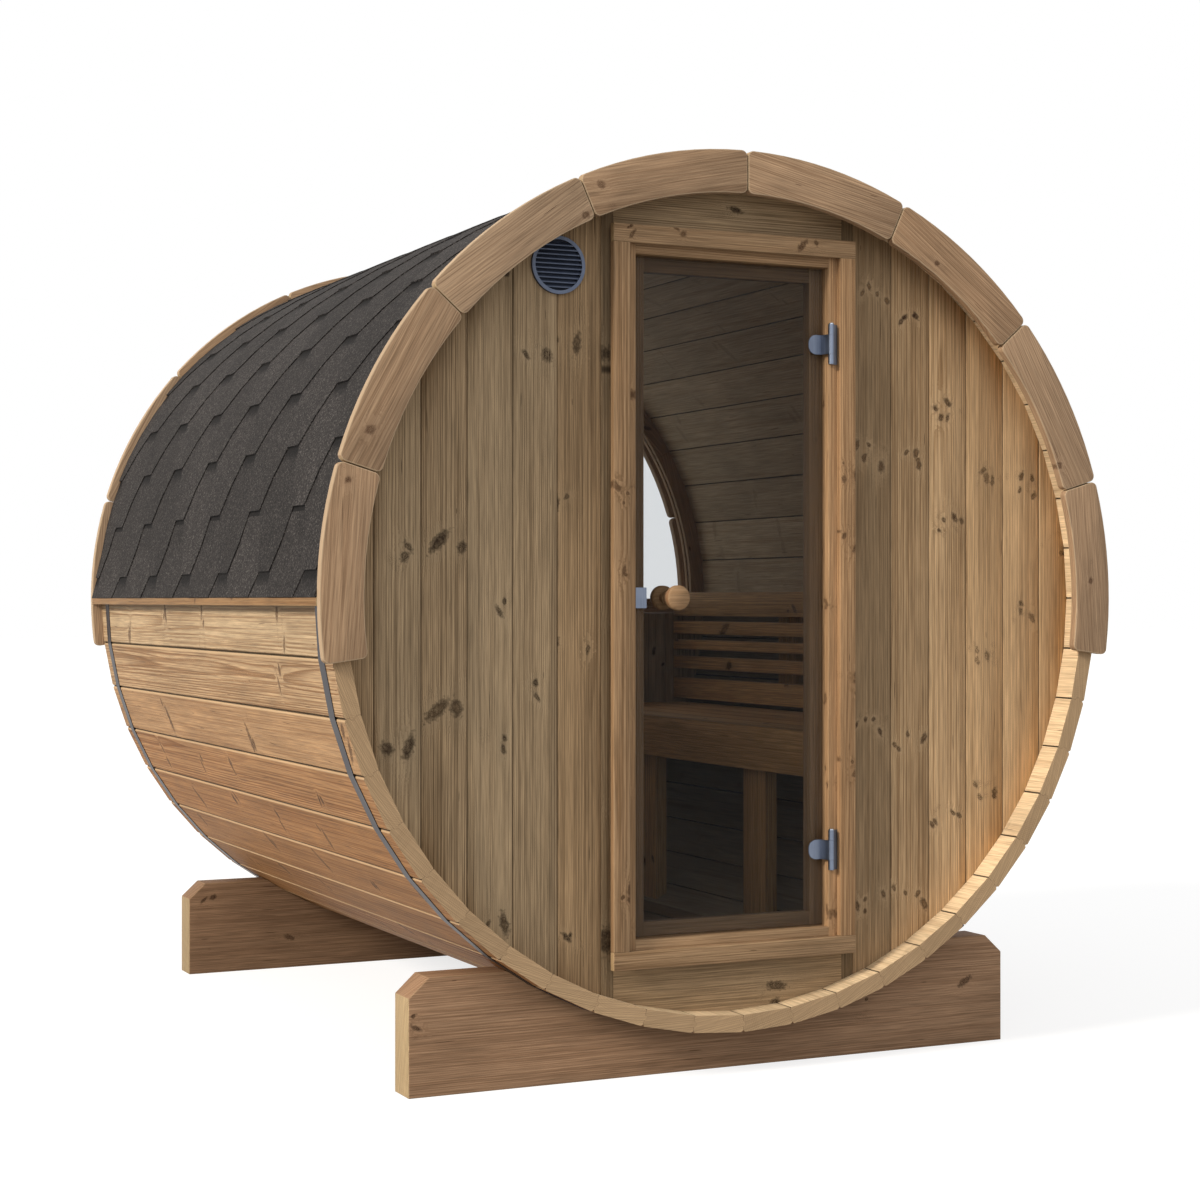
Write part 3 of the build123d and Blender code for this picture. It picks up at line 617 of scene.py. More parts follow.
def makeSteel(name, look, wear):
    material, start = startMaterial(name)
    place = start.place()
    x, y, z = place.parts()
    drawX, drawY, drawZ = look["draw"]
    drawn = start.noise(start.vector(x * drawX, y * drawY, z * drawZ), 1, 4, 0.6)
    cloud = start.noise(place, wear["cloudScale"], 3, 0.6)
    worn = (drawn * wear["wornShare"] + cloud * wear["wornShare"]).ease(*wear["wornEase"])
    roughness = (cloud - 0.5) * wear["cloudRoughness"] + (drawn - 0.5) * wear["drawnRoughness"]
    sockets = {
        "Base Color": start.mix(worn, look["base"], look["worn"]),
        "Metallic": 1.0,
        "Roughness": roughness + look["roughness"],
        "Normal": drawn.bump(wear["bump"], wear["bumpDepth"]),
    }
    finishSurface(start, sockets)
    return material


steels = {name: makeSteel(name, look, steelWear) for name, look in steelLooks.items()}

ventLook = {
    "base": colour(0.086, 0.112, 0.178),
    "worn": colour(0.128, 0.160, 0.240),
    # painted shade: the colour deeper in the grille
    "deep": colour(0.012, 0.016, 0.030),
    "front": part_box("vent_grille")[0].y,
    "lip": 0.0009,  # depth where the painted shade starts, behind the louvres' pale front edges
    "shade": 0.0030,  # depth at which the painted shade is full
    "recessShadeShare": 0.9,
    "cloudScale": 24,
    "cloudEase": (0.3, 0.7),
    "leatherScale": 900,
    "roughness": 0.38,
    "cloudRoughness": 0.2,
    "bump": 0.2,
    "bumpDepth": 0.0003,
}


def makeVentPlastic(look):
    material, start = startMaterial("ventPlastic")
    place = start.place()
    cloud = start.noise(place, look["cloudScale"], 4, 0.6)
    leather = start.noise(place, look["leatherScale"], 2)
    # painted shade: darker with depth behind the grille's front
    _, deep, _ = place.parts()
    deep = deep.ease(look["front"] + look["lip"], look["front"] + look["shade"])
    plastic = start.mix(cloud.ease(*look["cloudEase"]), look["base"], look["worn"])
    sockets = {
        "Base Color": start.mix(deep * look["recessShadeShare"], plastic, look["deep"]),
        "Roughness": cloud * look["cloudRoughness"] + look["roughness"],
        "Normal": leather.bump(look["bump"], look["bumpDepth"]),
    }
    finishSurface(start, sockets)
    return material


ventPlastic = makeVentPlastic(ventLook)

paneLooks = {
    "doorGlass": {"tint": colour(0.915, 0.920, 0.925), "gloss": colour(0.11, 0.11, 0.115), "smear": 0.05},
    "windowGlass": {"tint": colour(0.97, 0.98, 0.985), "gloss": colour(0.25, 0.26, 0.27), "smear": 0.03},
}


def makePane(name, look):
    headOn = 0.04  # share of light that the glass mirrors seen head on
    sharpest = 0.01  # least roughness
    smearScale = 7
    material, start = startMaterial(name)
    smear = start.noise(start.place(), smearScale, 3)
    clear = start.node("ShaderNodeBsdfTransparent", {}, {"Color": look["tint"]})
    sockets = {"Color": look["gloss"], "Roughness": smear * look["smear"] + sharpest}
    gloss = start.node("ShaderNodeBsdfGlossy", {}, sockets)
    facing = start.node("ShaderNodeLayerWeight", {}, {"Blend": 0.5}, "Facing")
    mirrored = facing ** 5 * (1 - headOn) + headOn
    finishMaterial(start, start.node("ShaderNodeMixShader", {}, {0: mirrored, 1: clear, 2: gloss}))
    return material


panes = {name: makePane(name, look) for name, look in paneLooks.items()}

shingleRow = 0.1507  # height of a row of shingles
feltLook = {
    "base": colour(0.027, 0.024, 0.023),
    "dark": colour(0.004, 0.0035, 0.0035),
    "pale": colour(0.105, 0.094, 0.090),
    "grain": 330,
    "patchTop": 2 * shingleRow,  # where the next flat but one lies on a tab
    "patchHalf": 0.046,
    "patchSides": (0.85, 1.2),  # of its half width, where it fades
    "patchReach": 0.042,
    "patchFull": 0.25,  # of its reach, left full
    "patchShade": 0.8,
    "paleFlecks": (0.70, 1.0),
    "paleShare": 0.8,
    "darkFlecks": (0.0, 0.40),
    "darkShare": 0.75,
    "cloudScale": 5,
    "cloudShare": 0.4,
    "fineScale": 130,
    "fineShare": 0.6,
    "runScale": (55, 4, 30),  # across a tab, down it, from tab to tab
    "runShare": 0.5,
    "toneShare": 0.3,
    "roughness": 0.82,
    "fleckRoughness": 0.15,
    "gloss": 0.15,
    "bump": 0.5,
    "bumpDepth": 0.0015,
}


def makeFelt(look):
    material, start = startMaterial("roofFelt")
    place = start.place()
    tone = start.attribute("tabTone", "Fac")
    tabX, tabY, _ = start.attribute("tabPlace", "Vector").parts()
    grain = start.node("ShaderNodeTexVoronoi", {}, {"Vector": place, "Scale": look["grain"]}, "Color")
    fleck, _, _ = grain.colours()
    cloud = start.noise(place, look["cloudScale"], 4, 0.6)
    fine = start.noise(place, look["fineScale"], 3, 0.6)
    runX, runY, runTone = look["runScale"]
    run = start.noise(start.vector(tabX * runX, tabY * runY, tone * runTone), 1, 3)
    felt = start.mix(fleck.ease(*look["paleFlecks"]) * look["paleShare"], look["base"], look["pale"])
    felt = start.mix((1 - fleck.ease(*look["darkFlecks"])) * look["darkShare"], felt, look["dark"])
    mottle = (cloud - 0.5) * look["cloudShare"] + (fine - 0.5) * look["fineShare"]
    felt = felt * (mottle + (run - 0.5) * look["runShare"] + 1)
    felt = felt * tone.around(look["toneShare"])

    # a dark patch above the flat of the tab that lies on this one
    half = look["patchHalf"]
    reach = look["patchReach"]
    fadeStart, fadeStop = look["patchSides"]
    aside = 1 - tabX.one("ABSOLUTE").ease(half * fadeStart, half * fadeStop)
    patch = aside * tabY.ease(look["patchTop"] - reach, look["patchTop"] - reach * look["patchFull"])
    sockets = {
        "Base Color": start.mix(patch * look["patchShade"], felt, look["dark"]),
        "Roughness": fleck * look["fleckRoughness"] + look["roughness"],
        "Specular IOR Level": look["gloss"],
        "Normal": (fleck + fine).bump(look["bump"], look["bumpDepth"]),
    }
    finishSurface(start, sockets)
    return material


roofFelt = makeFelt(feltLook)
print("steel, vent, glass and felt finishes made")


# Boards: each timber node is copied, its arrises eased, and every board given its own grain.
boardPieces = {  # by node: lay, arris, finish, slot
    "staves_left_upper": ("round", 0, "staveTimber", "stave_timber"),
    "staves_left_lower": ("round", 0, "staveTimber", "stave_timber"),
    "staves_right_upper": ("round", 0, "staveTimber", "stave_timber"),
    "staves_right_lower": ("round", 0, "staveTimber", "stave_timber"),
    "front_fascia": ("round", 0.0025, "fasciaTimber", "fascia_timber"),
    "rear_fascia": ("round", 0.0025, "fasciaTimber", "fascia_timber"),
    "front_bearer": ("straight", 0.002, "cradleTimber", "cradle_timber"),
    "rear_bearer": ("straight", 0.002, "cradleTimber", "cradle_timber"),
    "eave_battens": ("straight", 0.001, "battenTimber", "batten_timber"),
    "front_wall_left": ("straight", 0, "wallTimber", "wall_timber"),
    "front_wall_right": ("straight", 0, "litWallTimber", "wall_timber"),
    "front_wall_cross_boards": ("straight", 0, "wallTimber", "wall_timber"),
    "door_posts": ("straight", 0.001, "wallTimber", "wall_timber"),
    "rear_wall_boards": ("straight", 0, "wallTimber", "wall_timber"),
    "door_jambs": ("straight", 0.001, "frameTimber", "frame_timber"),
    "door_frame_rails": ("straight", 0.001, "frameTimber", "frame_timber"),
    "door_stop_stiles": ("straight", 0.001, "stopTimber", "frame_timber"),
    "door_stop_rails": ("straight", 0.001, "stopTimber", "frame_timber"),
    "casing_stiles": ("straight", 0.002, "frameTimber", "frame_timber"),
    "casing_rails": ("straight", 0.002, "frameTimber", "frame_timber"),
    "rear_window_arch": ("round", 0.0015, "frameTimber", "frame_timber"),
    "rear_window_sill": ("straight", 0.0015, "frameTimber", "frame_timber"),
    "floor_boards": ("straight", 0.001, "insideTimber", "floor_timber"),
    "floor_joists": ("straight", 0.001, "insideTimber", "floor_timber"),
    "bench_front_board": ("straight", 0.002, "benchTimber", "bench_timber"),
    "bench_seat_boards": ("straight", 0.002, "benchTimber", "bench_timber"),
    "bench_legs": ("straight", 0.001, "benchTimber", "bench_timber"),
    "bench_bearers": ("straight", 0.001, "benchTimber", "bench_timber"),
    "backrest_slats": ("straight", 0.002, "benchTimber", "bench_timber"),
    "backrest_posts": ("straight", 0.001, "benchTimber", "bench_timber"),
}
doorKnobs = {
    "door_knob_outside": ("straight", 0, "knobTimber", "knob_timber"),
    "door_knob_inside": ("straight", 0, "knobTimber", "knob_timber"),
}
# painted light and shade on the staves' inner faces: lighter on the open ends and inside, painted shade
# behind the bench
innerLook = {
    "wallFront": -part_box("front_wall_left")[0].y,
    "wallMargin": 0.002,  # faces from here on belong to the open ends
    "ring": 0.85,
    "inside": 0.3,
    "behindBench": -1.4,
}
boardTints = {  # tones and warmth by place, partly painted light and shade, the places in metres from the barrel's middle
    "lowShadeReach": 0.48,  # below the axis, where staves take their painted shade, darker and warmer
    "frameTone": 0.4,
    "frameChance": 0.2,
    "frameLit": 0.4,  # painted light: more on the right of the door
    "frameLitFrom": 0.2,
    "doorSide": -0.42,  # left wall boards past this stand beside the door and are given painted shade
    "doorSideShade": 0.15,
    "leftTone": 0.4,
    "leftChance": 0.5,
    "leftWarmth": 0.6,
    "rampStart": 0.05,  # right wall: painted shadow of the casing beside the door, then painted sunlight
    "rampLength": 0.22,
    "rampShare": 0.8,
    "rampChance": 0.2,
}
grainShift = 60  # each board is cut somewhere along so long a trunk
staveCount = 48
staveTurn = math.radians(360 / staveCount)
endFacing = 0.8  # least cosine of a sawn end to the grain
rimFacing = 0.9  # of a fascia's outer edge to the radius
innerFacing = 0.5  # of a stave's inner face to the barrel's axis
mergeDistance = 0.00001
flatAngle = math.radians(0.3)
arrisAngle = math.radians(40)
smoothAngle = math.radians(32)


def boardsIn(shape):
    # the separate boards of a node, as lists of vertices
    left = set(shape.verts)
    boards = []
    for vert in shape.verts:
        if vert not in left:
            continue
        board = []
        queue = [vert]
        left.discard(vert)
        while queue:
            here = queue.pop()
            board.append(here)
            for edge in here.link_edges:
                other = edge.other_vert(here)
                if other in left:
                    left.discard(other)
                    queue.append(other)
        boards.append(board)
    return boards


def boardAxes(places, lay):
    # a board's length, width and thickness directions
    middle = sum(places, Vector()) / len(places)
    axes = [Vector((1, 0, 0)), Vector((0, 1, 0)), Vector((0, 0, 1))]
    if lay == "round":
        outward = radial(middle)
        axes = [outward, Vector((0, 1, 0)), outward.cross(Vector((0, 1, 0)))]
    reaches = []
    for number, axis in enumerate(axes):
        along = [place.dot(axis) for place in places]
        reaches.append((max(along) - min(along), number))
    return middle, [axes[number] for _, number in sorted(reaches, reverse=True)]


def radial(place):
    # direction from the barrel's axis
    out = place - axisPoint
    out.y = 0
    return out.normalized()


def staveShare(place, middle):
    # -1 at the upper joint of a stave, 1 at the lower
    def turn(point):
        return math.atan2(point.z - axisHeight, point.x) / staveTurn

    stave = math.floor(turn(middle)) + 0.5
    share = (turn(place) - stave) * 2
    return max(-1, min(1, share)) * (-1 if middle.x > 0 else 1)


def staveInnerLightShade(face):
    # painted light and shade on a stave's inner faces: lightest on the open ends, painted shade behind the
    # bench
    place = face.calc_center_median()
    if radial(place).dot(face.normal) > -innerFacing:
        return 0.0
    if abs(place.y) > innerLook["wallFront"] - innerLook["wallMargin"]:
        return innerLook["ring"]
    behindBench = place.x > 0 and place.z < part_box("backrest_slats")[1].z
    return innerLook["behindBench"] if behindBench else innerLook["inside"]


def boardTint(nodeName, finish, middle, chance):
    # a board's tone and warmth, drawn by chance and then led by its place, which paints light and shade on
    # some boards
    look = boardTints
    tone = chance.random()
    warmthShade = chance.random()
    if finish == "staveTimber":
        # painted shade: staves darker and warmer by their height below the axis
        warmthShade = min(1, max(0, (axisHeight - middle.z) / look["lowShadeReach"]))
    # painted light on the frame boards right of the door
    if finish == "frameTimber":
        lit = look["frameLit"] if middle.x > look["frameLitFrom"] else 0
        tone = look["frameTone"] + tone * look["frameChance"] + lit
    # painted shade on the left wall boards beside the door
    if nodeName == "front_wall_left":
        besideDoor = middle.x > look["doorSide"]
        tone = look["doorSideShade"] if besideDoor else tone * look["leftChance"] + look["leftTone"]
        warmthShade = 1.0 if besideDoor else warmthShade * look["leftWarmth"]
    # painted shadow beside the door, then painted sunlight, on the right wall's boards
    if finish == "litWallTimber":
        ramp = min(1, (middle.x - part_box(nodeName)[0].x - look["rampStart"]) / look["rampLength"])
        tone = ramp * look["rampShare"] + tone * look["rampChance"]
    return tone, warmthShade


def easeArrises(shape, arris):
    sharp = [e for e in shape.edges if e.is_manifold and e.is_convex and e.calc_face_angle(0) > arrisAngle]
    bevel = {"offset": arris, "segments": 2, "profile": 0.6, "affect": "EDGES", "clamp_overlap": True}
    return bmesh.ops.bevel(shape, geom=sharp, **bevel)["faces"]


def isWorn(face, eased, finish):
    # an eased arris, or the outer edge of a fascia
    if face in eased:
        return True
    return finish == "fasciaTimber" and radial(face.calc_center_median()).dot(face.normal) > rimFacing


def keepValues(mesh, name, domain, values):
    mesh.attributes.new(name, "FLOAT", domain).data.foreach_set("value", values)


def keepVectors(mesh, name, vectors):
    numbers = [number for vector in vectors for number in vector]
    mesh.attributes.new(name, "FLOAT_VECTOR", "POINT").data.foreach_set("vector", numbers)


def pieceNameOf(nodeName):
    first, *rest = nodeName.split("_")
    return first + "".join(word.capitalize() for word in rest)


def dressBoards(nodeName, lay, arris, finish, slotName, body):
    pieceName = pieceNameOf(nodeName)
    shape = bmesh.new()
    shape.from_mesh(cadNodes[nodeName].data)
    bmesh.ops.remove_doubles(shape, verts=shape.verts, dist=mergeDistance)
    bmesh.ops.dissolve_limit(shape, angle_limit=flatAngle, verts=shape.verts, edges=shape.edges)
    eased = set(easeArrises(shape, arris) if arris else [])
    shape.verts.index_update()
    chance = random.Random(nodeName)
    count = len(shape.verts)
    grain = [Vector()] * count
    edgeShare = [0.0] * count
    tone = [0.5] * count
    warmthShade = [0.0] * count
    lengthAxis = [Vector()] * count
    for board in boardsIn(shape):
        middle, axes = boardAxes([vert.co for vert in board], lay)
        shift = Vector((chance.uniform(0, grainShift), 0, 0))
        boardTone, boardWarmthShade = boardTint(nodeName, finish, middle, chance)
        sides = [vert.co.dot(axes[1]) for vert in board]
        lowSide = min(sides)
        boardWidth = max(sides) - lowSide
        for vert, side in zip(board, sides):
            offset = vert.co - middle
            grain[vert.index] = Vector([offset.dot(axis) for axis in axes]) + shift
            edgeShare[vert.index] = (side - lowSide) / boardWidth * 2 - 1
            if finish == "staveTimber":
                edgeShare[vert.index] = staveShare(vert.co, middle)
            tone[vert.index] = boardTone
            warmthShade[vert.index] = boardWarmthShade
            lengthAxis[vert.index] = axes[0]
    shape.faces.ensure_lookup_table()
    endCut = [float(abs(f.normal.dot(lengthAxis[f.verts[0].index])) > endFacing) for f in shape.faces]
    worn = [float(isWorn(f, eased, finish)) for f in shape.faces]
    # painted light and shade on the staves' inner faces
    paintedInner = [staveInnerLightShade(f) if finish == "staveTimber" else 0.0 for f in shape.faces]
    mesh = bpy.data.meshes.new(pieceName)
    shape.to_mesh(mesh)
    shape.free()
    keepVectors(mesh, "grain", grain)
    keepValues(mesh, "edgeShare", "POINT", edgeShare)
    keepValues(mesh, "boardTone", "POINT", tone)
    keepValues(mesh, "boardWarmthShade", "POINT", warmthShade)
    keepValues(mesh, "endCut", "FACE", endCut)
    keepValues(mesh, "arrisWear", "FACE", worn)
    keepValues(mesh, "paintedInnerFace", "FACE", paintedInner)
    mesh.shade_smooth()
    mesh.set_sharp_from_angle(angle=smoothAngle)
    addPiece(pieceName, mesh, timbers[finish], body, [nodeName])


def addPiece(pieceName, mesh, material, body, replaced):
    mesh.materials.clear()
    mesh.materials.append(material)
    piece = bpy.data.objects.new(pieceName, mesh)
    collection.objects.link(piece)
    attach(piece, body)
    if replaced:
        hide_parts(*replaced)


for nodeName, settings in boardPieces.items():
    dressBoards(nodeName, *settings, "cabin")
for nodeName, settings in doorKnobs.items():
    dressBoards(nodeName, *settings, "door")
print("boards dressed:", len(boardPieces) + len(doorKnobs))

# metal, glass, plastic and the ridge cap keep their nodes' own shapes
nodeFinishes = {
    "front_band": steels["bandSteel"],
    "rear_band": steels["bandSteel"],
    "band_bolts": steels["boltSteel"],
    "door_hinge_leaves": steels["hingeSteel"],
    "hinge_frame_leaves": steels["hingeSteel"],
    "hinge_pins": steels["pinSteel"],
    "door_catch_plate": steels["hingeSteel"],
    "door_glass": panes["doorGlass"],
    "rear_window_glass": panes["windowGlass"],
    "vent_grille": ventPlastic,
    "roof_ridge_cap": roofFelt,
}
for nodeName, material in nodeFinishes.items():
    cadNodes[nodeName].data.materials.clear()
    cadNodes[nodeName].data.materials.append(material)


# Vent: a fine wire screen lies on the wall behind the louvres; its near-black openings are painted shade,
# darkening what shows between the louvres.
screenLook = {
    "wire": colour(0.018, 0.024, 0.044),
    # painted shade in the openings between the wires
    "mesh": colour(0.005, 0.007, 0.012),
    "pitch": 0.0016,
    "wireStart": 0.26,  # share of the pitch, from the middle of an opening
    "wireFull": 0.36,
    "rim": 0.0083,  # of the grille, outside the screen
    "thickness": 0.00025,
    "corners": 72,
    "roughness": 0.85,
    "wireShine": 0.35,
    "gloss": 0.2,
    "bump": 0.5,
    "bumpDepth": 0.0002,
}


def makeScreenWire(look):
    material, start = startMaterial("screenWire")
    x, _, z = start.place().parts()
    weft = (x / look["pitch"] % 1 - 0.5).one("ABSOLUTE")
    warp = (z / look["pitch"] % 1 - 0.5).one("ABSOLUTE")
    wire = start.sum("MAXIMUM", weft, warp).ease(look["wireStart"], look["wireFull"])
    sockets = {
        "Base Color": start.mix(wire, look["mesh"], look["wire"]),
        "Roughness": look["roughness"] - wire * look["wireShine"],
        "Specular IOR Level": look["gloss"],
        "Normal": wire.bump(look["bump"], look["bumpDepth"]),
    }
    finishSurface(start, sockets)
    return material


def addVentScreen(look):
    low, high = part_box("vent_grille")
    middle = (low + high) / 2
    radius = (high.x - low.x) / 2 - look["rim"]
    shape = bmesh.new()
    rim = []
    for corner in range(look["corners"]):
        turn = corner * 2 * math.pi / look["corners"]
        place = (middle.x + radius * math.cos(turn), high.y, middle.z + radius * math.sin(turn))
        rim.append(shape.verts.new(place))
    sheet = bmesh.ops.extrude_face_region(shape, geom=[shape.faces.new(rim)])
    for part in sheet["geom"]:
        if isinstance(part, bmesh.types.BMVert):
            part.co.y -= look["thickness"]
    bmesh.ops.recalc_face_normals(shape, faces=shape.faces)
    mesh = bpy.data.meshes.new("ventScreen")
    shape.to_mesh(mesh)
    shape.free()
    addPiece("ventScreen", mesh, makeScreenWire(look), "cabin", [])


addVentScreen(screenLook)
print("vent screen laid")


# Shingles: flat tabs laid out in rows, then rolled on to the barrel by Geometry Nodes.
staveClearance = 0.0021  # from the staves to the round that the tabs lie on
eaveRoom = 0.0075  # what the lowest tabs' thickness takes up at the eave
roofLook = {
    "rollRadius": barrelTop - axisHeight + staveClearance,
    "flareAngle": math.radians(6),  # where the roof leaves the barrel for the eave
    "eaveReach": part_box("roof_shingles_right")[1].x - eaveRoom,
    "rowHeight": shingleRow,
    "firstRow": 0.0615,  # eave to the first flats
    "pitch": 0.344,
    "flatWidth": 0.087,
    "firstTab": 0.077,  # front end to the first row's first flat
    "thickness": 0.0028,
    "lap": 0.03,
    "rows": 11,
    "columns": 8,
    "curl": 0.0007,
    "curlScale": 6,
    "flareBlend": (0.07, 0.16),  # up the roof, where the tabs turn from the flare to the round
    "sideGap": 0.0003,  # of a tab, half the gap to the next
    "starterLift": 1.35,  # in thicknesses
    "starterRows": (0, 0.05, 0.10, 0.15, 0.20),
    "ridgeGap": 0.004,  # left open under the ridge cap
}
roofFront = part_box("roof_shingles_left")[0].y
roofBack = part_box("roof_shingles_left")[1].y


def makeTab(name, look, startAt):
    # one shingle tab in the flat: x along the barrel, y up the roof, z its lift
    half = look["flatWidth"] / 2
    row = look["rowHeight"]
    shoulder = look["pitch"] / 2 - half
    reach = look["pitch"] / 2 - look["sideGap"]
    shape = bmesh.new()

    def lift(y):
        # a tab's foot lies on two more tabs, and its head under them
        return look["thickness"] * (3 - y / row)

    def line(y, places):
        return [shape.verts.new((x, y, lift(y))) for x in places]

    def wide(y):
        return half + (shoulder - half) * y / row

    narrow = [line(y, (-wide(y), 0, wide(y))) for y in (startAt, (startAt + row) / 2)]
    heights = (row, row * 1.5, row * 2, row * 2 + look["lap"])
    full = [line(y, (-reach, -shoulder, 0, shoulder, reach)) for y in heights]
    steps = [(narrow[0], narrow[1]), (narrow[1], full[0][1:4])]
    steps += list(zip(full, full[1:]))
    for low, high in steps:
        for i in range(len(low) - 1):
            shape.faces.new((low[i], low[i + 1], high[i + 1], high[i]))
    thicken(shape, look["thickness"])
    return tabObjectFrom(name, shape, 0)


def tabObjectFrom(name, shape, rise):
    # keeps each point's place on its tab for the felt's shading
    mesh = bpy.data.meshes.new(name)
    shape.to_mesh(mesh)
    shape.free()
    keepVectors(mesh, "tabPlace", [(v.co.x, v.co.y + rise, 0) for v in mesh.vertices])
    return bpy.data.objects.new(name, mesh)


def makeStarter(name, look):
    # a length of the plain strip that lies under the lowest tabs
    lift = look["thickness"] * look["starterLift"]
    half = look["pitch"] / 2 - look["sideGap"]
    shape = bmesh.new()
    rows = [[shape.verts.new((x, y, lift)) for x in (-half, half)] for y in look["starterRows"]]
    for low, high in zip(rows, rows[1:]):
        shape.faces.new((low[0], low[1], high[1], high[0]))
    thicken(shape, look["thickness"])
    return tabObjectFrom(name, shape, 2 * look["rowHeight"] - look["firstRow"])


def thicken(shape, thickness):
    # gives a sheet its thickness downwards and closes it
    under = bmesh.ops.extrude_face_region(shape, geom=list(shape.faces))
    for part in under["geom"]:
        if isinstance(part, bmesh.types.BMVert):
            part.co.z -= thickness
    bmesh.ops.recalc_face_normals(shape, faces=shape.faces)


def makeRoofTree(look):
    tree = bpy.data.node_groups.new("shingleRoof", "GeometryNodeTree")
    sockets = {}
    inlets = {
        "Object": ("Tab",),
        "Material": ("Felt",),
        "Int": ("Count", "Columns", "Seed"),
        "Float": (
            *("Pitch", "Row height", "First row", "First tab", "Row shift", "Curl", "Side"),
            *("Roll radius", "Flare angle", "Eave reach", "Axis height"),
        ),
    }
    for kind, names in inlets.items():
        for name in names:
            socket = tree.interface.new_socket(name, in_out="INPUT", socket_type="NodeSocket" + kind)
            sockets[name] = socket.identifier
    tree.interface.new_socket("Geometry", in_out="OUTPUT", socket_type="NodeSocketGeometry")
    start = Wire(tree)
    given = start.node("NodeGroupInput", {}, {}, "Tab")

    index = start.node("GeometryNodeInputIndex", {}, {})
    column = index % given.of("Columns")
    row = (index / given.of("Columns")).one("FLOOR")
    y = given.of("First tab") + (column + (row + given.of("Row shift")) % 2 * 0.5) * given.of("Pitch")
    up = given.of("First row") + row * given.of("Row height")
    spots = {"Count": given.of("Count"), "Position": start.vector(y, up, 0)}
    points = start.node("GeometryNodePoints", {}, spots)
    tab = start.node("GeometryNodeObjectInfo", {}, {"Object": given, "As Instance": True}, "Geometry")
    tabs = start.node("GeometryNodeInstanceOnPoints", {}, {"Points": points, "Instance": tab})
    tone = start.node("FunctionNodeRandomValue", {"data_type": "FLOAT"}, {"Seed": given.of("Seed")}, 1)
    store = {"data_type": "FLOAT", "domain": "INSTANCE"}
    tones = {"Geometry": tabs, "Name": "tabTone", "Value": tone}
    tabs = start.node("GeometryNodeStoreNamedAttribute", store, tones)
    sheet = start.node("GeometryNodeRealizeInstances", {}, {"Geometry": tabs})

    # the roll: a straight flare at the eave, then the barrel's round
    place = start.node("GeometryNodeInputPosition", {}, {})
    length, climb, lift = place.parts()
    curlPlace = start.vector(length * look["curlScale"], climb * look["curlScale"], given.of("Seed"))
    lift = lift + (start.noise(curlPlace, 1, 2) - 0.5) * given.of("Curl")
    flareTop = given.of("Roll radius") * given.of("Flare angle").one("SINE")
    flareOut = given.of("Roll radius") * given.of("Flare angle").one("COSINE")
    flareIn = given.of("Eave reach") - flareOut
    flareLength = (flareTop ** 2 + flareIn ** 2) ** 0.5
    flareTilt = (flareIn / flareTop).one("ARCTANGENT")
    onRound = climb > flareLength
    angle = given.of("Flare angle") + (climb - flareLength) / given.of("Roll radius")
    blend = climb.ease(*look["flareBlend"])
    lean = flareTilt * (1 - blend) + angle * blend
    roundOut = angle.one("COSINE") * given.of("Roll radius")
    roundUp = angle.one("SINE") * given.of("Roll radius")
    flatOut = given.of("Eave reach") - climb * flareIn / flareLength
    flatUp = climb * flareTop / flareLength
    out = roundOut * onRound + flatOut * (1 - onRound) + lean.one("COSINE") * lift
    rise = roundUp * onRound + flatUp * (1 - onRound) + lean.one("SINE") * lift
    rolled = start.vector(out * given.of("Side"), length, rise + given.of("Axis height"))
    sheet = start.node("GeometryNodeSetPosition", {}, {"Geometry": sheet, "Position": rolled})
    sheet = start.node("GeometryNodeSetMaterial", {}, {"Geometry": sheet, "Material": given.of("Felt")})
    start.node("NodeGroupOutput", {}, {"Geometry": sheet})
    return tree, sockets


def cutOff(shape, point, direction):
    # removes what lies past a plane and closes the cut
    geom = list(shape.verts) + list(shape.edges) + list(shape.faces)
    plane = {"plane_co": point, "plane_no": direction, "dist": mergeDistance, "clear_outer": True}
    bmesh.ops.bisect_plane(shape, geom=geom, **plane)
    rims = [e for e in shape.edges if e.is_boundary]
    bmesh.ops.holes_fill(shape, edges=rims, sides=0)


def rollShingles(tree, sockets, look, side, tab, rows, firstRow, rowShift, seed):
    helper = bpy.data.objects.new("roofHelper", bpy.data.meshes.new("roofHelper"))
    collection.objects.link(helper)
    layer = helper.modifiers.new("shingles", "NODES")
    layer.node_group = tree
    values = {
        "Tab": tab,
        "Felt": roofFelt,
        "Count": rows * look["columns"],
        "Columns": look["columns"],
        "Pitch": look["pitch"],
        "Row height": look["rowHeight"],
        "First row": firstRow,
        "First tab": roofFront + look["firstTab"] - look["pitch"],
        "Side": side,
        "Roll radius": look["rollRadius"],
        "Flare angle": look["flareAngle"],
        "Eave reach": look["eaveReach"],
        "Axis height": axisHeight,
        "Curl": look["curl"],
        "Seed": seed,
        "Row shift": rowShift,
    }
    for name, value in values.items():
        layer[sockets[name]] = value
    evaluated = helper.evaluated_get(bpy.context.evaluated_depsgraph_get())
    mesh = bpy.data.meshes.new_from_object(evaluated)
    helper.modifiers.remove(layer)
    bpy.data.objects.remove(helper)
    return mesh


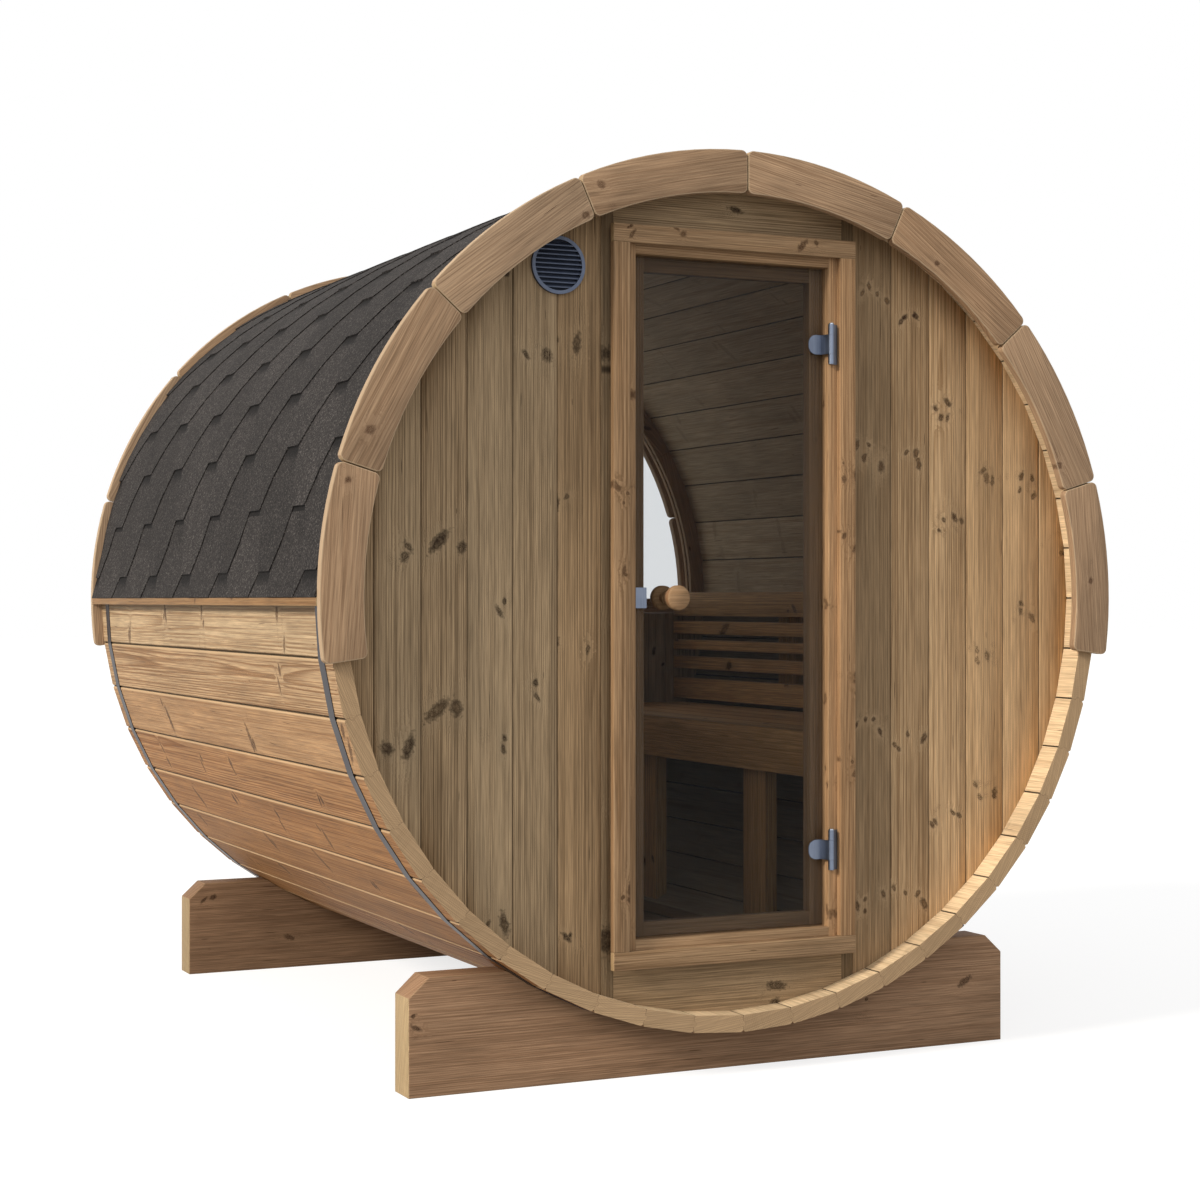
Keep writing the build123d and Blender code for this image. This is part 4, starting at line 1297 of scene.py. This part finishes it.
roofTree, roofSockets = makeRoofTree(roofLook)
tabObject = makeTab("shingleTab", roofLook, 0)
eaveCut = roofLook["rowHeight"] - roofLook["firstRow"]
eaveTabObject = makeTab("eaveTab", roofLook, eaveCut)
starterObject = makeStarter("starterStrip", roofLook)
for pieceName, nodeName, side, seed in (
    ("shinglesLeft", "roof_shingles_left", -1.0, 7),
    ("shinglesRight", "roof_shingles_right", 1.0, 19),
):
    layers = (
        (tabObject, roofLook["rows"], roofLook["firstRow"], 0.0, seed),
        (eaveTabObject, 1, -eaveCut, 1.0, seed + 1),
        (starterObject, 1, 0.0, 0.0, seed + 2),
    )
    shape = bmesh.new()
    for layer in layers:
        shape.from_mesh(rollShingles(roofTree, roofSockets, roofLook, side, *layer))
    bmesh.ops.recalc_face_normals(shape, faces=shape.faces)
    cutOff(shape, (0, roofFront, 0), (0, -1, 0))
    cutOff(shape, (0, roofBack, 0), (0, 1, 0))
    cutOff(shape, (side * roofLook["ridgeGap"], 0, 0), (-side, 0, 0))
    mesh = bpy.data.meshes.new(pieceName)
    shape.to_mesh(mesh)
    shape.free()
    mesh.shade_smooth()
    mesh.set_sharp_from_angle(angle=smoothAngle)
    addPiece(pieceName, mesh, roofFelt, "cabin", [nodeName])
print("shingles rolled")


# Studio: pale floor, white surround, a warm key from the left and a soft fill from the front.
studioLook = {
    "floorSize": 60,
    "floorColour": colour(0.36, 0.36, 0.36),
    "floorGlow": 0.76,  # what the eye sees on top of the lit floor
    "white": colour(1, 1, 1),
    "skyStrength": 0.55,
}
lampLooks = {
    "keyLamp": {
        "direction": Vector((0.84, 0.15, -0.48)),
        "strength": 3.2,
        "angle": math.radians(14),
        "tint": (1.0, 0.93, 0.82),
    },
    "fillLamp": {
        "direction": Vector((0.25, 0.90, -0.35)),
        "strength": 0.68,
        "angle": math.radians(70),
        "tint": (1, 1, 1),
    },
}


def addSun(name, look):
    lamp = bpy.data.lights.new(name, "SUN")
    lamp.energy = look["strength"]
    lamp.angle = look["angle"]
    lamp.color = look["tint"]
    holder = bpy.data.objects.new(name, lamp)
    holder.rotation_euler = look["direction"].to_track_quat("-Z", "Y").to_euler()
    collection.objects.link(holder)


def seenMask(start):
    # 1 where the camera looks, straight on, in a mirror or through glass
    camera = start.node("ShaderNodeLightPath", {}, {}, "Is Camera Ray")
    seen = start.sum("MAXIMUM", camera, camera.of("Is Glossy Ray"))
    return start.sum("MAXIMUM", seen, camera.of("Is Transmission Ray"))


def addFloor(look):
    shape = bmesh.new()
    bmesh.ops.create_grid(shape, x_segments=1, y_segments=1, size=look["floorSize"])
    mesh = bpy.data.meshes.new("studioFloor")
    shape.to_mesh(mesh)
    shape.free()
    material, start = startMaterial("studioFloor")
    matt = start.node("ShaderNodeBsdfDiffuse", {}, {"Color": look["floorColour"]})
    sockets = {"Color": look["white"], "Strength": seenMask(start) * look["floorGlow"]}
    glow = start.node("ShaderNodeEmission", {}, sockets)
    finishMaterial(start, start.node("ShaderNodeAddShader", {}, {0: matt, 1: glow}))
    mesh.materials.append(material)
    floor = bpy.data.objects.new("studioFloor", mesh)
    collection.objects.link(floor)


def addWorld(look):
    world = bpy.data.worlds.new("studioWorld")
    world.use_nodes = True
    world.node_tree.nodes.clear()
    start = Wire(world.node_tree)
    strength = seenMask(start) * (1 - look["skyStrength"]) + look["skyStrength"]
    sky = start.node("ShaderNodeBackground", {}, {"Color": look["white"], "Strength": strength})
    start.node("ShaderNodeOutputWorld", {}, {"Surface": sky})
    bpy.context.scene.world = world


cameraLook = {
    "place": Vector((-2.571, -5.704, 1.116)),
    "turn": math.radians(-25.38),
    "lens": 67.56,
    "sensor": 36,
}


def addCamera(look):
    lens = bpy.data.cameras.new("camera")
    lens.lens = look["lens"]
    lens.sensor_width = look["sensor"]
    holder = bpy.data.objects.new("camera", lens)
    holder.location = look["place"]
    holder.rotation_euler = (math.pi / 2, 0, look["turn"])
    collection.objects.link(holder)
    bpy.context.scene.camera = holder


addFloor(studioLook)
addWorld(studioLook)
for lampName, lampLook in lampLooks.items():
    addSun(lampName, lampLook)
addCamera(cameraLook)
bpy.context.scene.view_settings.view_transform = "Standard"
print("studio set")
